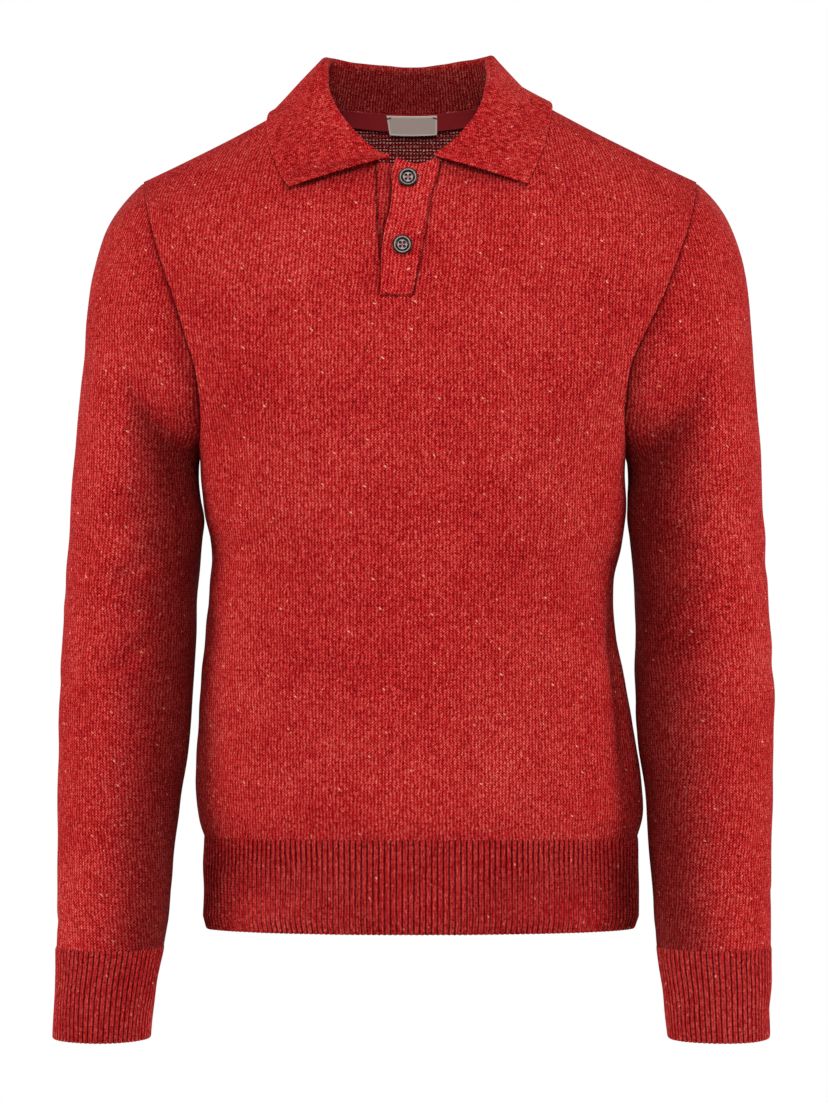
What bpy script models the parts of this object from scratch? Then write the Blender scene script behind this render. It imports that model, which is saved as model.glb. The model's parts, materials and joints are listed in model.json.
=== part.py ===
"""Knitted polo sweater in its worn, hollow form, with nobody in it.

Metres, +Z up. The origin is the middle of the neck base, where the wearer's neck and shoulders carry the
garment. The front faces -Y. The wearer's right arm is at -X and the left arm at +X.

Every wall is a surface worked out from the tables below, with its inner face a cloth thickness behind it.
Body panels are laid out in rows: row 0 is the hem rib's seam, 1 the armpit, 2 the shoulder point and 3 the
neckline. A place along a row runs from -1 at the wearer's right edge to 1 at the left edge.
"""

import math

import bpy
import numpy as np
from mathutils import Matrix, Vector
from mathutils.bvhtree import BVHTree

MM = 0.001


def table(columns, *rows):
    """A table of sizes, as one array for each named column."""
    return dict(zip(columns.split(), np.array(rows, float).T))


# ---------------------------------------------------------------- driving dimensions

KNIT = 2.2 * MM  # thickness of the plain knit
SEAM_GAP = 0.3 * MM  # between two pieces at a seam

HEM_SEAM = -0.5905  # height of the seam between body and hem rib, at the middle
HEM_EDGE = -0.6645  # height of the hem's lower edge, at the middle
HEM_DROOP = 4.5 * MM  # how much lower the hem hangs at the sides
DROOP_ROWS = 0.45  # the rows that the droop bends
ARMPIT = -0.283
NOTCH_FOOT = 1.8  # row where the placket opening ends

SIDE_ROWS = 11
ARMHOLE_ROWS = 10
SHOULDER_ROWS = 4
SIDE_CLOSING = 1.25  # draws the rows together towards the hem
EDGE_COLUMNS = 8  # from each side of a panel to its middle strip
MIDDLE_COLUMNS = 4

RIB_HIGH = 0.6 * MM  # a rib's crest above the wall's line
RIB_LOW = -0.6 * MM  # the groove between two ribs
RIB_FLAT = (0.0, 0.26, 0.74)  # groove and two crest corners, as parts of a rib
HEM_RIBS = 188
CUFF_RIBS = 60
RIBS_PER_LINING_POINT = 2  # the plain inside has one point for so many ribs
RIB_LEAN = 5.0 * MM  # how far the hem's ribs lean to the middle of front and back

CUFF_SEAM = -0.680
CUFF_EDGE = -0.7515

COLLAR_KNIT = 2.6 * MM
COLLAR_OFF_BODY = 2.2 * MM  # least space between the fall's middle and the body
COLLAR_END_RIGHT = -0.0190  # where the collar stops at the opening
COLLAR_END_LEFT = 0.0172

BAND_KNIT = 2.0 * MM
BAND_LIFT = 2.4 * MM  # the upper band lies so far above the panel's line

UNDER_DROP = 0.022  # rows that the under band stays below the upper one

BUTTON_RADIUS = 7.7 * MM
BUTTON_THICK = 3.0 * MM
BUTTON_HOLE = 0.85 * MM
BUTTON_HOLE_PITCH = 1.55 * MM
BUTTON_STEPS = 20
BUTTONS = {"button_top": (-0.0047, -0.0743), "button_lower": (-0.0091, -0.1277)}

TAPE_THICK = 1.0 * MM
TAPE_GAP = 0.9 * MM  # from the back's inner face
TAPE_HEIGHT = 15.0 * MM
TAPE_COLUMNS = 9  # the tape spans this many columns of the back on each side of the middle
LABEL_THICK = 1.0 * MM
LABEL_SIZE = (41.5 * MM, 17.7 * MM)
LABEL_MIDDLE = -0.0018

# Square is how much boxier than an ellipse a section is. Below zero it runs to a flatter front and a
# tighter turn at the side.
BODY = table(
    "height right left front back square",
    (-0.5905, 0.1690, 0.1802, 0.1030, 0.1040, -0.42),
    (-0.578, 0.1732, 0.1842, 0.1075, 0.1080, -0.40),
    (-0.552, 0.1757, 0.1832, 0.1090, 0.1085, -0.35),
    (-0.518, 0.1742, 0.1785, 0.1075, 0.1050, -0.30),
    (-0.470, 0.1710, 0.1695, 0.1040, 0.0985, -0.22),
    (-0.421, 0.1663, 0.1605, 0.1005, 0.0935, -0.10),
    (-0.389, 0.1638, 0.1603, 0.1000, 0.0925, -0.02),
    (-0.365, 0.1630, 0.1665, 0.1005, 0.0930, 0.06),
    (-0.336, 0.1690, 0.1714, 0.1030, 0.0950, 0.18),
    (-0.300, 0.1735, 0.1715, 0.1070, 0.0995, 0.30),
    (-0.283, 0.1745, 0.1722, 0.1090, 0.1025, 0.34),
    (-0.247, 0.1745, 0.1722, 0.1130, 0.1080, 0.38),
    (-0.206, 0.1745, 0.1722, 0.1155, 0.1125, 0.38),
    (-0.168, 0.1745, 0.1722, 0.1155, 0.1130, 0.34),
    (-0.134, 0.1745, 0.1722, 0.1115, 0.1095, 0.28),
    (-0.100, 0.1745, 0.1722, 0.1045, 0.1000, 0.22),
    (-0.062, 0.1745, 0.1722, 0.0945, 0.0855, 0.16),
    (-0.035, 0.1745, 0.1722, 0.0900, 0.0745, 0.12),
    (-0.005, 0.1745, 0.1722, 0.0860, 0.0615, 0.12),
)

# The armhole's edges: reach is the distance out from the middle, depth is forward or back.
FRONT_ARMHOLE = table(
    "row right left depth height",
    (1.00, 0.1695, 0.1672, 0.0000, -0.2830),
    (1.14, 0.1690, 0.1668, 0.0330, -0.2755),
    (1.27, 0.1690, 0.1668, 0.0595, -0.2585),
    (1.38, 0.1702, 0.1680, 0.0740, -0.2400),
    (1.48, 0.1735, 0.1712, 0.0790, -0.2190),
    (1.60, 0.1808, 0.1815, 0.0785, -0.1955),
    (1.72, 0.1905, 0.1970, 0.0755, -0.1640),
    (1.82, 0.2010, 0.2085, 0.0690, -0.1340),
    (1.90, 0.2095, 0.2190, 0.0575, -0.1040),
    (1.95, 0.2150, 0.2250, 0.0380, -0.0810),
    (2.00, 0.2177, 0.2275, 0.0000, -0.0683),
)
BACK_ARMHOLE = table(
    "row right left depth height",
    (1.00, 0.1695, 0.1672, 0.0000, -0.2830),
    (1.14, 0.1697, 0.1675, 0.0330, -0.2738),
    (1.27, 0.1708, 0.1690, 0.0585, -0.2558),
    (1.38, 0.1740, 0.1745, 0.0715, -0.2365),
    (1.48, 0.1790, 0.1810, 0.0765, -0.2155),
    (1.60, 0.1870, 0.1905, 0.0775, -0.1900),
    (1.72, 0.1955, 0.2020, 0.0745, -0.1600),
    (1.82, 0.2045, 0.2120, 0.0680, -0.1310),
    (1.90, 0.2115, 0.2205, 0.0565, -0.1030),
    (1.95, 0.2155, 0.2255, 0.0370, -0.0805),
    (2.00, 0.2177, 0.2275, 0.0000, -0.0683),
)
NECK_POINT = {"right": (0.0850, 0.0015), "left": (0.0805, 0.007)}
SHOULDER_CROWN = {"right": -3.0 * MM, "left": -1.5 * MM}  # how far each shoulder seam arches up

# The height of each row at the middle. Rows are arcs, cut off where the armhole comes in.
FRONT_ROWS = table(
    "row middle",
    (1.00, -0.2830),
    (1.20, -0.2540),
    (1.40, -0.2250),
    (1.60, -0.1965),
    (1.80, -0.1675),
    (2.00, -0.1385),
    (2.33, -0.1120),
    (2.67, -0.0870),
    (3.00, -0.0625),
)
BACK_ROWS = table(
    "row middle",
    (1.00, -0.2830),
    (1.20, -0.2555),
    (1.40, -0.2275),
    (1.60, -0.1990),
    (1.80, -0.1700),
    (2.00, -0.1400),
    (2.33, -0.0960),
    (2.67, -0.0500),
    (3.00, -0.0050),
)
# How far the cloth beside a row's edge bulges past it, so that the edge lies in a crease.
TUCK = table(
    "row depth",
    (0.00, 0.0),
    (0.72, 0.0),
    (0.86, 1.6 * MM),
    (1.00, 5.0 * MM),
    (1.12, 5.8 * MM),
    (1.24, 5.6 * MM),
    (1.38, 4.2 * MM),
    (1.52, 2.2 * MM),
    (1.70, 0.4 * MM),
    (1.85, 0.0),
    (3.00, 0.0),
)
TUCK_REACH = 0.24  # the part of a row that the crease bends

# The placket: where its three upright lines run, as distances from the middle.
PLACKET = table(
    "height under_seam free_edge band_seam",
    (-0.1675, -0.0264, -0.0262, -0.0016),
    (-0.1607, -0.0264, -0.0260, 0.0005),
    (-0.1474, -0.0264, -0.0256, 0.0036),
    (-0.1325, -0.0272, -0.0250, 0.0062),
    (-0.1157, -0.0285, -0.0228, 0.0093),
    (-0.1016, -0.0294, -0.0190, 0.0114),
    (-0.0864, -0.0296, -0.0170, 0.0140),
    (-0.0714, -0.0300, -0.0172, 0.0195),
    (-0.0620, -0.0305, -0.0135, 0.0215),
)

# Each sleeve's level sections: reach to its outer and inner side, depth of its middle and its half depth.
SLEEVE_RIGHT = table(
    "height outer inner middle half_depth",
    (-0.755, 0.2863, 0.2103, -0.0440, 0.0395),
    (-0.745, 0.2862, 0.2096, -0.0430, 0.0400),
    (-0.710, 0.2859, 0.2057, -0.0370, 0.0418),
    (-0.680, 0.2850, 0.1995, -0.0320, 0.0440),
    (-0.650, 0.2853, 0.1954, -0.0270, 0.0470),
    (-0.610, 0.2853, 0.1925, -0.0200, 0.0492),
    (-0.570, 0.2859, 0.1880, -0.0130, 0.0515),
    (-0.520, 0.2857, 0.1811, -0.0060, 0.0545),
    (-0.470, 0.2855, 0.1774, 0.0000, 0.0570),
    (-0.420, 0.2825, 0.1751, 0.0030, 0.0590),
    (-0.380, 0.2804, 0.1735, 0.0040, 0.0600),
    (-0.356, 0.2789, 0.1711, 0.0040, 0.0607),
    (-0.340, 0.2777, 0.1692, 0.0040, 0.0610),
    (-0.322, 0.2763, 0.1722, 0.0035, 0.0615),
    (-0.300, 0.2745, 0.1755, 0.0030, 0.0620),
    (-0.260, 0.2707, 0.1790, 0.0020, 0.0640),
    (-0.211, 0.2661, 0.1790, 0.0010, 0.0660),
    (-0.163, 0.2621, 0.1790, 0.0000, 0.0660),
    (-0.120, 0.2540, 0.1790, 0.0000, 0.0660),
)
SLEEVE_LEFT = table(
    "height outer inner middle half_depth",
    (-0.755, 0.2823, 0.2020, -0.0440, 0.0395),
    (-0.745, 0.2822, 0.2011, -0.0430, 0.0400),
    (-0.710, 0.2836, 0.1975, -0.0370, 0.0418),
    (-0.680, 0.2846, 0.1936, -0.0320, 0.0440),
    (-0.650, 0.2853, 0.1918, -0.0270, 0.0470),
    (-0.610, 0.2860, 0.1888, -0.0200, 0.0492),
    (-0.570, 0.2875, 0.1865, -0.0150, 0.0515),
    (-0.545, 0.2882, 0.1840, -0.0120, 0.0530),
    (-0.520, 0.2889, 0.1802, -0.0090, 0.0545),
    (-0.470, 0.2899, 0.1780, -0.0040, 0.0570),
    (-0.420, 0.2866, 0.1785, 0.0020, 0.0590),
    (-0.380, 0.2842, 0.1768, 0.0040, 0.0600),
    (-0.356, 0.2830, 0.1740, 0.0040, 0.0607),
    (-0.340, 0.2820, 0.1722, 0.0040, 0.0610),
    (-0.322, 0.2815, 0.1724, 0.0035, 0.0615),
    (-0.300, 0.2801, 0.1745, 0.0030, 0.0620),
    (-0.260, 0.2775, 0.1775, 0.0020, 0.0640),
    (-0.211, 0.2730, 0.1775, 0.0010, 0.0660),
    (-0.163, 0.2700, 0.1775, 0.0000, 0.0660),
    (-0.120, 0.2620, 0.1775, 0.0000, 0.0660),
)
SLEEVES = {
    "right": {"side": -1, "sections": SLEEVE_RIGHT},
    "left": {"side": 1, "sections": SLEEVE_LEFT},
}
# How the sleeve head leaves the armhole: turn 0 is the shoulder point, 0.25 the front, 0.5 the armpit.
SLEEVE_HEAD = table(
    "turn drop swell leave arrive",
    (0.00, 40.0, 0.00, 0.036, 0.046),
    (0.05, 50.0, 0.25, 0.033, 0.044),
    (0.12, 54.0, 0.45, 0.029, 0.042),
    (0.25, 36.0, 0.35, 0.026, 0.034),
    (0.38, 30.0, 0.10, 0.014, 0.022),
    (0.50, 55.0, 0.00, 0.008, 0.012),
    (0.62, 30.0, 0.10, 0.014, 0.022),
    (0.75, 36.0, 0.35, 0.026, 0.034),
    (0.88, 54.0, 0.45, 0.029, 0.042),
    (0.95, 50.0, 0.25, 0.033, 0.044),
    (1.00, 40.0, 0.00, 0.036, 0.046),
)
JOIN_MIDDLE = -0.240  # the head becomes a tube at this height, higher outside and lower inside
JOIN_TILT = 0.075
HEAD_ROWS = 5
TUBE_ROWS = 13

# The collar's fold line and its free edge, along the neckline from the right end to the left end.
COLLAR = table(
    "along fold_x fold_y fold_z edge_x edge_y edge_z",
    (0.000, -0.0195, -0.0937, -0.0566, -0.0981, -0.0930, -0.0802),
    (0.025, -0.0290, -0.0905, -0.0540, -0.1015, -0.0870, -0.0755),
    (0.055, -0.0405, -0.0845, -0.0442, -0.1050, -0.0800, -0.0700),
    (0.086, -0.0500, -0.0755, -0.0330, -0.1092, -0.0690, -0.0600),
    (0.118, -0.0592, -0.0655, -0.0205, -0.1122, -0.0580, -0.0490),
    (0.150, -0.0650, -0.0530, -0.0075, -0.1141, -0.0460, -0.0385),
    (0.181, -0.0690, -0.0405, 0.0045, -0.1149, -0.0320, -0.0280),
    (0.211, -0.0704, -0.0270, 0.0150, -0.1149, -0.0180, -0.0195),
    (0.240, -0.0707, -0.0130, 0.0230, -0.1147, -0.0040, -0.0135),
    (0.268, -0.0703, 0.0020, 0.0290, -0.1135, 0.0110, -0.0105),
    (0.306, -0.0700, 0.0210, 0.0338, -0.1085, 0.0340, -0.0100),
    (0.345, -0.0672, 0.0370, 0.0358, -0.0990, 0.0540, -0.0120),
    (0.388, -0.0520, 0.0510, 0.0346, -0.0820, 0.0730, -0.0150),
    (0.438, -0.0300, 0.0615, 0.0332, -0.0520, 0.0875, -0.0180),
    (0.494, -0.0040, 0.0660, 0.0319, -0.0040, 0.0940, -0.0200),
    (0.552, 0.0230, 0.0610, 0.0336, 0.0450, 0.0880, -0.0170),
    (0.604, 0.0465, 0.0500, 0.0362, 0.0730, 0.0735, -0.0120),
    (0.648, 0.0598, 0.0350, 0.0372, 0.0890, 0.0545, -0.0080),
    (0.687, 0.0600, 0.0200, 0.0345, 0.0980, 0.0345, -0.0060),
    (0.725, 0.0588, 0.0040, 0.0285, 0.1028, 0.0150, -0.0070),
    (0.756, 0.0596, -0.0130, 0.0215, 0.1042, 0.0010, -0.0110),
    (0.788, 0.0596, -0.0270, 0.0135, 0.1048, -0.0140, -0.0170),
    (0.821, 0.0582, -0.0420, 0.0045, 0.1046, -0.0280, -0.0245),
    (0.855, 0.0556, -0.0550, -0.0065, 0.1037, -0.0425, -0.0340),
    (0.890, 0.0505, -0.0670, -0.0200, 0.1018, -0.0560, -0.0435),
    (0.925, 0.0420, -0.0780, -0.0325, 0.0990, -0.0690, -0.0540),
    (0.958, 0.0315, -0.0868, -0.0448, 0.0950, -0.0810, -0.0645),
    (0.985, 0.0215, -0.0925, -0.0528, 0.0910, -0.0885, -0.0735),
    (1.000, 0.0165, -0.0940, -0.0556, 0.0888, -0.0920, -0.0776),
)
# The roll's radius at the fold, tight where the collar ends at the opening, and how far the fall arches.
COLLAR_ROLL = table(
    "along radius crown",
    (0.00, 1.9 * MM, 2.0 * MM),
    (0.06, 2.3 * MM, 2.0 * MM),
    (0.14, 2.9 * MM, 1.0 * MM),
    (0.22, 3.2 * MM, 0.5 * MM),
    (0.30, 3.3 * MM, 0.5 * MM),
    (0.50, 3.4 * MM, 1.0 * MM),
    (0.70, 3.3 * MM, 1.5 * MM),
    (0.78, 3.2 * MM, 1.5 * MM),
    (0.86, 2.9 * MM, 1.5 * MM),
    (0.94, 2.3 * MM, 2.0 * MM),
    (1.00, 1.9 * MM, 2.0 * MM),
)
STAND_STEPS = 3
ROLL_STEPS = 4
FALL_STEPS = 5

# The largest soft folds: girth is measured along the cloth from the middle, tilt from upright.
FRONT_FOLDS = table(
    "girth height tilt length width depth",
    (-0.167, -0.268, 3.0, 0.065, 0.013, -3.0 * MM),
    (-0.138, -0.252, 16.0, 0.070, 0.020, 1.5 * MM),
    (0.167, -0.272, -3.0, 0.065, 0.013, -3.0 * MM),
    (0.136, -0.256, -18.0, 0.070, 0.020, 1.5 * MM),
    (0.213, -0.485, -5.0, 0.075, 0.009, -5.0 * MM),
    (0.190, -0.480, -8.0, 0.080, 0.010, 2.0 * MM),
    (-0.120, -0.400, 62.0, 0.085, 0.018, -1.2 * MM),
    (0.110, -0.395, -66.0, 0.080, 0.018, -1.2 * MM),
)
BACK_FOLDS = table(
    "girth height tilt length width depth",
    (-0.160, -0.262, 8.0, 0.070, 0.015, -3.0 * MM),
    (0.160, -0.266, -8.0, 0.070, 0.015, -3.0 * MM),
    (-0.060, -0.400, 78.0, 0.100, 0.018, -2.5 * MM),
    (0.075, -0.425, -80.0, 0.100, 0.020, -2.5 * MM),
    (0.010, -0.462, 84.0, 0.090, 0.017, 2.0 * MM),
)
BODY_GIRTH_RADIUS = 0.150  # turns a swing angle into a distance along the cloth
SLEEVE_FOLDS = table(
    "girth height tilt length width depth",
    (0.105, -0.395, 62.0, 0.040, 0.012, -2.2 * MM),
    (0.090, -0.430, 70.0, 0.045, 0.013, -2.5 * MM),
    (0.100, -0.468, 58.0, 0.040, 0.012, -1.8 * MM),
    (0.095, -0.330, 35.0, 0.045, 0.015, -1.8 * MM),
)
SLEEVE_GIRTH_RADIUS = 0.052

RED_KNIT = (0.46, 0.020, 0.022, 1.0)
RED_RIB = (0.36, 0.018, 0.020, 1.0)
HORN = (0.030, 0.020, 0.022, 1.0)
TAPE_RED = (0.20, 0.010, 0.014, 1.0)
LABEL_CLOTH = (0.55, 0.46, 0.40, 1.0)


# ---------------------------------------------------------------- curves and folds


def smooth(sizes, key, name, at):
    """The column called name at the given key, on a curve with even slopes through the table's rows."""
    knots, values = sizes[key], sizes[name]
    at = np.clip(np.asarray(at, float), knots[0], knots[-1])
    steps = np.diff(values) / np.diff(knots)
    spans = np.diff(knots)
    slopes = np.empty_like(values)
    slopes[1:-1] = (steps[:-1] * spans[1:] + steps[1:] * spans[:-1]) / (spans[:-1] + spans[1:])
    slopes[0], slopes[-1] = steps[0], steps[-1]
    place = np.clip(np.searchsorted(knots, at, side="right") - 1, 0, len(knots) - 2)
    span = spans[place]
    part = (at - knots[place]) / span
    rise = values[place + 1] - values[place]
    blend = part * part * (3 - 2 * part)
    bend_in = part * (1 - part) ** 2 * slopes[place] * span
    bend_out = part * part * (part - 1) * slopes[place + 1] * span
    return values[place] + rise * blend + bend_in + bend_out


def unit(vectors):
    """Each vector at length one."""
    return vectors / np.maximum(np.linalg.norm(vectors, axis=-1, keepdims=True), 1e-12)


def fold_relief(folds, girth, height):
    """Sum of soft ridges and troughs, bell-shaped across and flat-topped along their length."""
    relief = np.zeros(np.broadcast(girth, height).shape)
    for i in range(len(folds["depth"])):
        lean = math.radians(folds["tilt"][i])
        over, up = girth - folds["girth"][i], height - folds["height"][i]
        along = -over * math.sin(lean) + up * math.cos(lean)
        across = over * math.cos(lean) + up * math.sin(lean)
        bell = np.exp(-((across / folds["width"][i]) ** 2) - (along / folds["length"][i]) ** 4)
        relief = relief + folds["depth"][i] * bell
    return relief


# ---------------------------------------------------------------- body panels


def width_share(swing, square):
    """How far out a point at this swing lies, as a share of the widest reach."""
    return np.sin(swing) * (1 + np.maximum(square, 0) * np.cos(swing) ** 2)


def depth_share(swing, square):
    """How far forward a point at this swing lies, as a share of the middle's depth."""
    flat = np.maximum(-square, 0)
    return (1 - flat) * np.cos(swing) + flat * np.cos(swing) ** 2 * np.sign(np.cos(swing))


def swing_for(share, square):
    """The swing at which the depth share has this value."""
    flat = np.maximum(-square, 1e-6)
    return np.arccos((flat - 1 + np.sqrt((1 - flat) ** 2 + 4 * flat * share)) / (2 * flat))


def middle_height(panel, row):
    """The height of a row where it crosses the middle."""
    below = HEM_SEAM + (ARMPIT - HEM_SEAM) * row
    return np.where(row < 1, below, smooth(panel["rows"], "row", "middle", row))


def edge_of(panel, row, hand):
    """Reach, depth and height of a panel's edge: side seam, then armhole, then shoulder seam."""
    hole = panel["armhole"]
    side_height = HEM_SEAM + (ARMPIT - HEM_SEAM) * row
    droop = HEM_DROOP * np.clip(1 - row / DROOP_ROWS, 0, 1) ** 2
    side_reach = smooth(BODY, "height", hand, side_height) - smooth(TUCK, "row", "depth", row)
    hole_reach = smooth(hole, "row", hand, row)
    hole_depth = smooth(hole, "row", "depth", row)
    hole_height = smooth(hole, "row", "height", row)
    up = np.clip(row - 2, 0, 1)
    neck_reach, neck_height = NECK_POINT[hand]
    seam_reach = hole[hand][-1] + (neck_reach - hole[hand][-1]) * up
    seam_height = hole["height"][-1] + (neck_height - hole["height"][-1]) * up
    seam_height = seam_height + SHOULDER_CROWN[hand] * np.sin(math.pi * up)
    low, high = row < 1, row > 2
    reach = np.where(low, side_reach, np.where(high, seam_reach, hole_reach))
    depth = np.where(low | high, 0.0, hole_depth)
    height = np.where(low, side_height - droop, np.where(high, seam_height, hole_height))
    return reach, depth, height


def panel_points(panel, row, place):
    """Points of the front or back, before its folds. Each row is an arc that swings from edge to edge.

    x grows about as the sine of the swing and depth falls about as its cosine, so a row ends at the swing
    whose depth is that of its edge. z changes with the squared sine of the swing. Beside the armpit the arc
    reaches past its edge and is tucked back to it.
    """
    row, place = np.broadcast_arrays(np.asarray(row, float), np.asarray(place, float))
    middle = middle_height(panel, row)
    middle_depth = smooth(BODY, "height", panel["depth"], middle)
    square = smooth(BODY, "height", "square", middle)
    right = edge_of(panel, row, "right")
    left = edge_of(panel, row, "left")
    reach, depth, height = (np.where(place < 0, r, l) for r, l in zip(right, left))
    full = swing_for(depth / middle_depth, square)
    swing = full * place
    tuck = smooth(TUCK, "row", "depth", row)
    tucked = np.clip((np.abs(place) - 1 + TUCK_REACH) / TUCK_REACH, 0, 1) ** 2 * np.sign(place)
    outward = (reach + tuck) * width_share(swing, square) / width_share(full, square) - tuck * tucked
    upward = middle + (height - middle) * (np.sin(swing) / np.sin(full)) ** 2
    return np.stack([outward, middle_depth * depth_share(swing, square) * panel["facing"], upward], -1)


FRONT = {
    "facing": -1,
    "depth": "front",
    "armhole": FRONT_ARMHOLE,
    "rows": FRONT_ROWS,
    "folds": FRONT_FOLDS,
}
BACK = {
    "facing": 1,
    "depth": "back",
    "armhole": BACK_ARMHOLE,
    "rows": BACK_ROWS,
    "folds": BACK_FOLDS,
}


def place_of(panel, row, across):
    """The place along a row at which the panel lies this far from the middle."""
    fine = np.linspace(-0.5, 0.5, 401)
    return np.array([np.interp(x, panel_points(panel, r, fine)[:, 0], fine) for r, x in zip(row, across)])


def body_rows():
    """The rows of both panels, closer together towards the hem."""
    side = np.linspace(0, 1, SIDE_ROWS + 1) ** SIDE_CLOSING
    hole = np.linspace(1, 2, ARMHOLE_ROWS + 1)[1:]
    shoulder = np.linspace(2, 3, SHOULDER_ROWS + 1)[1:]
    return np.concatenate([side, hole, shoulder])


def folded(panel, row, place, points):
    """The points moved out or in by the panel's folds, which fade before each seam."""
    girth = np.arctan2(points[..., 0], np.abs(points[..., 1])) * BODY_GIRTH_RADIUS
    fade = np.clip(row / 0.12, 0, 1) * np.clip((1 - np.abs(place)) / 0.08, 0, 1)
    relief = fold_relief(panel["folds"], girth, points[..., 2]) * fade
    return points + grid_normals(points, panel["facing"]) * relief[..., None]


def panel_grid(panel, notched):
    """Rows of points for a panel. With a notch, columns follow the placket's two seams."""
    rows = body_rows()
    if notched:
        height = middle_height(panel, rows)
        right = place_of(panel, rows, smooth(PLACKET, "height", "under_seam", height))
        left = place_of(panel, rows, smooth(PLACKET, "height", "band_seam", height))
    else:
        left = np.full(len(rows), MIDDLE_COLUMNS / (2 * EDGE_COLUMNS + MIDDLE_COLUMNS))
        right = -left
    parts = [
        np.linspace(-1, right, EDGE_COLUMNS + 1)[:-1],
        np.linspace(right, left, MIDDLE_COLUMNS + 1)[:-1],
        np.linspace(left, 1, EDGE_COLUMNS + 1),
    ]
    place = np.concatenate(parts).T
    row = np.repeat(rows[:, None], place.shape[1], axis=1)
    points = panel_points(panel, row, place)
    return row, place, folded(panel, row, place, points)


# ---------------------------------------------------------------- sleeves


def sleeve_tube(hand, turn, height):
    """A level section of the sleeve: an ellipse between its inner and outer reach."""
    sections, side = SLEEVES[hand]["sections"], SLEEVES[hand]["side"]
    outer = smooth(sections, "height", "outer", height)
    inner = smooth(sections, "height", "inner", height)
    middle = smooth(sections, "height", "middle", height)
    half_depth = smooth(sections, "height", "half_depth", height)
    angle = 2 * math.pi * turn
    reach = (outer + inner) / 2 + (outer - inner) / 2 * np.cos(angle)
    return np.stack([side * reach, middle - half_depth * np.sin(angle), height + 0 * angle], -1)


def armhole_loop(hand, turn):
    """The armhole, down the front from the shoulder point to the armpit and up the back."""
    side = SLEEVES[hand]["side"]
    front = edge_of(FRONT, 2 - 2 * turn, hand)
    back = edge_of(BACK, 2 * turn, hand)
    ahead = turn <= 0.5
    reach, depth, height = (np.where(ahead, f, b) for f, b in zip(front, back))
    return np.stack([side * reach, np.where(ahead, -depth, depth), height], -1)


def sleeve_grid(hand, turns, head_rows, tube_rows):
    """Rings of the sleeve: a curved head from the armhole, then a tube down to the cuff seam.

    Each line of the head is a cubic curve that leaves the armhole outwards and arrives straight down.
    """
    side = SLEEVES[hand]["side"]
    start = armhole_loop(hand, turns)
    join = JOIN_MIDDLE + JOIN_TILT * np.cos(2 * math.pi * turns)
    end = sleeve_tube(hand, turns, join)
    below = sleeve_tube(hand, turns, join - MM)
    drop = np.radians(smooth(SLEEVE_HEAD, "turn", "drop", turns))
    swell = smooth(SLEEVE_HEAD, "turn", "swell", turns) * np.where(turns <= 0.5, -1, 1)
    leaving = unit(np.stack([side * np.cos(drop), swell, -np.sin(drop)], -1))
    first = start + leaving * smooth(SLEEVE_HEAD, "turn", "leave", turns)[:, None]
    second = end - unit(below - end) * smooth(SLEEVE_HEAD, "turn", "arrive", turns)[:, None]
    rings = []
    for t in np.linspace(0, 1, head_rows + 1)[:-1]:
        s = 1 - t
        rings.append(s**3 * start + 3 * s * s * t * first + 3 * s * t * t * second + t**3 * end)
    for t in np.linspace(0, 1, tube_rows + 1):
        rings.append(sleeve_tube(hand, turns, join + (CUFF_SEAM - join) * t))
    points = np.array(rings)
    girth = (turns - np.where(turns > 0.5, 1, 0)) * 2 * math.pi * SLEEVE_GIRTH_RADIUS
    fade = np.clip((points[..., 2] - CUFF_SEAM) / 0.02, 0, 1)
    relief = fold_relief(SLEEVE_FOLDS, np.abs(girth)[None, :], points[..., 2]) * fade
    return points + grid_normals(points, -side, True) * relief[..., None]


# ---------------------------------------------------------------- meshes


def grid_normals(points, turn_sign=1, closed=False):
    """Unit normals of a grid of points, from the run of its rows and columns."""
    if closed:
        around = np.roll(points, -1, 1) - np.roll(points, 1, 1)
    else:
        around = np.gradient(points, axis=1)
    down = np.gradient(points, axis=0)
    return unit(np.cross(around, down)) * -turn_sign


def grid_faces(rows, columns, closed=False):
    """Four-sided faces between neighbouring points of a grid, as corner numbers."""
    spans = columns if closed else columns - 1
    r, c = np.meshgrid(np.arange(rows - 1), np.arange(spans), indexing="ij")
    nearer, further = c, (c + 1) % columns
    faces = [r * columns + nearer, r * columns + further]
    faces += [(r + 1) * columns + further, (r + 1) * columns + nearer]
    return np.stack(faces, -1).reshape(-1, 4)


def skin_normals(skins):
    """Normals and mitres for all skins together, so that both sides of a seam share them."""
    points = np.concatenate([s["points"] for s in skins])
    shift = np.cumsum([0] + [len(s["points"]) for s in skins])
    faces = np.concatenate([s["faces"] + n for s, n in zip(skins, shift)])
    _, same = np.unique(np.round(points / (0.01 * MM)).astype(int), axis=0, return_inverse=True)
    same = same.reshape(-1)
    corners = points[faces]
    facing = np.cross(corners[:, 2] - corners[:, 0], corners[:, 3] - corners[:, 1])
    total = np.zeros((same.max() + 1, 3))
    for k in range(4):
        np.add.at(total, same[faces[:, k]], facing)
    total = unit(total)
    straight = np.ones(len(total))
    for k in range(4):
        point = same[faces[:, k]]
        np.minimum.at(straight, point, (unit(facing) * total[point]).sum(1))
    mitre = 1 / np.clip(straight, 0.72, 1)
    for s, n in zip(skins, shift):
        s["normals"] = total[same[n : n + len(s["points"])]]
        s["mitre"] = mitre[same[n : n + len(s["points"])]]


def rim_edges(faces):
    """The edges that only one face has, in that face's direction."""
    edges = np.concatenate([faces[:, [k, (k + 1) % 4]] for k in range(4)])
    ordered = np.sort(edges, axis=1)
    _, index, count = np.unique(ordered, axis=0, return_inverse=True, return_counts=True)
    return edges[count[index.reshape(-1)] == 1]


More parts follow.
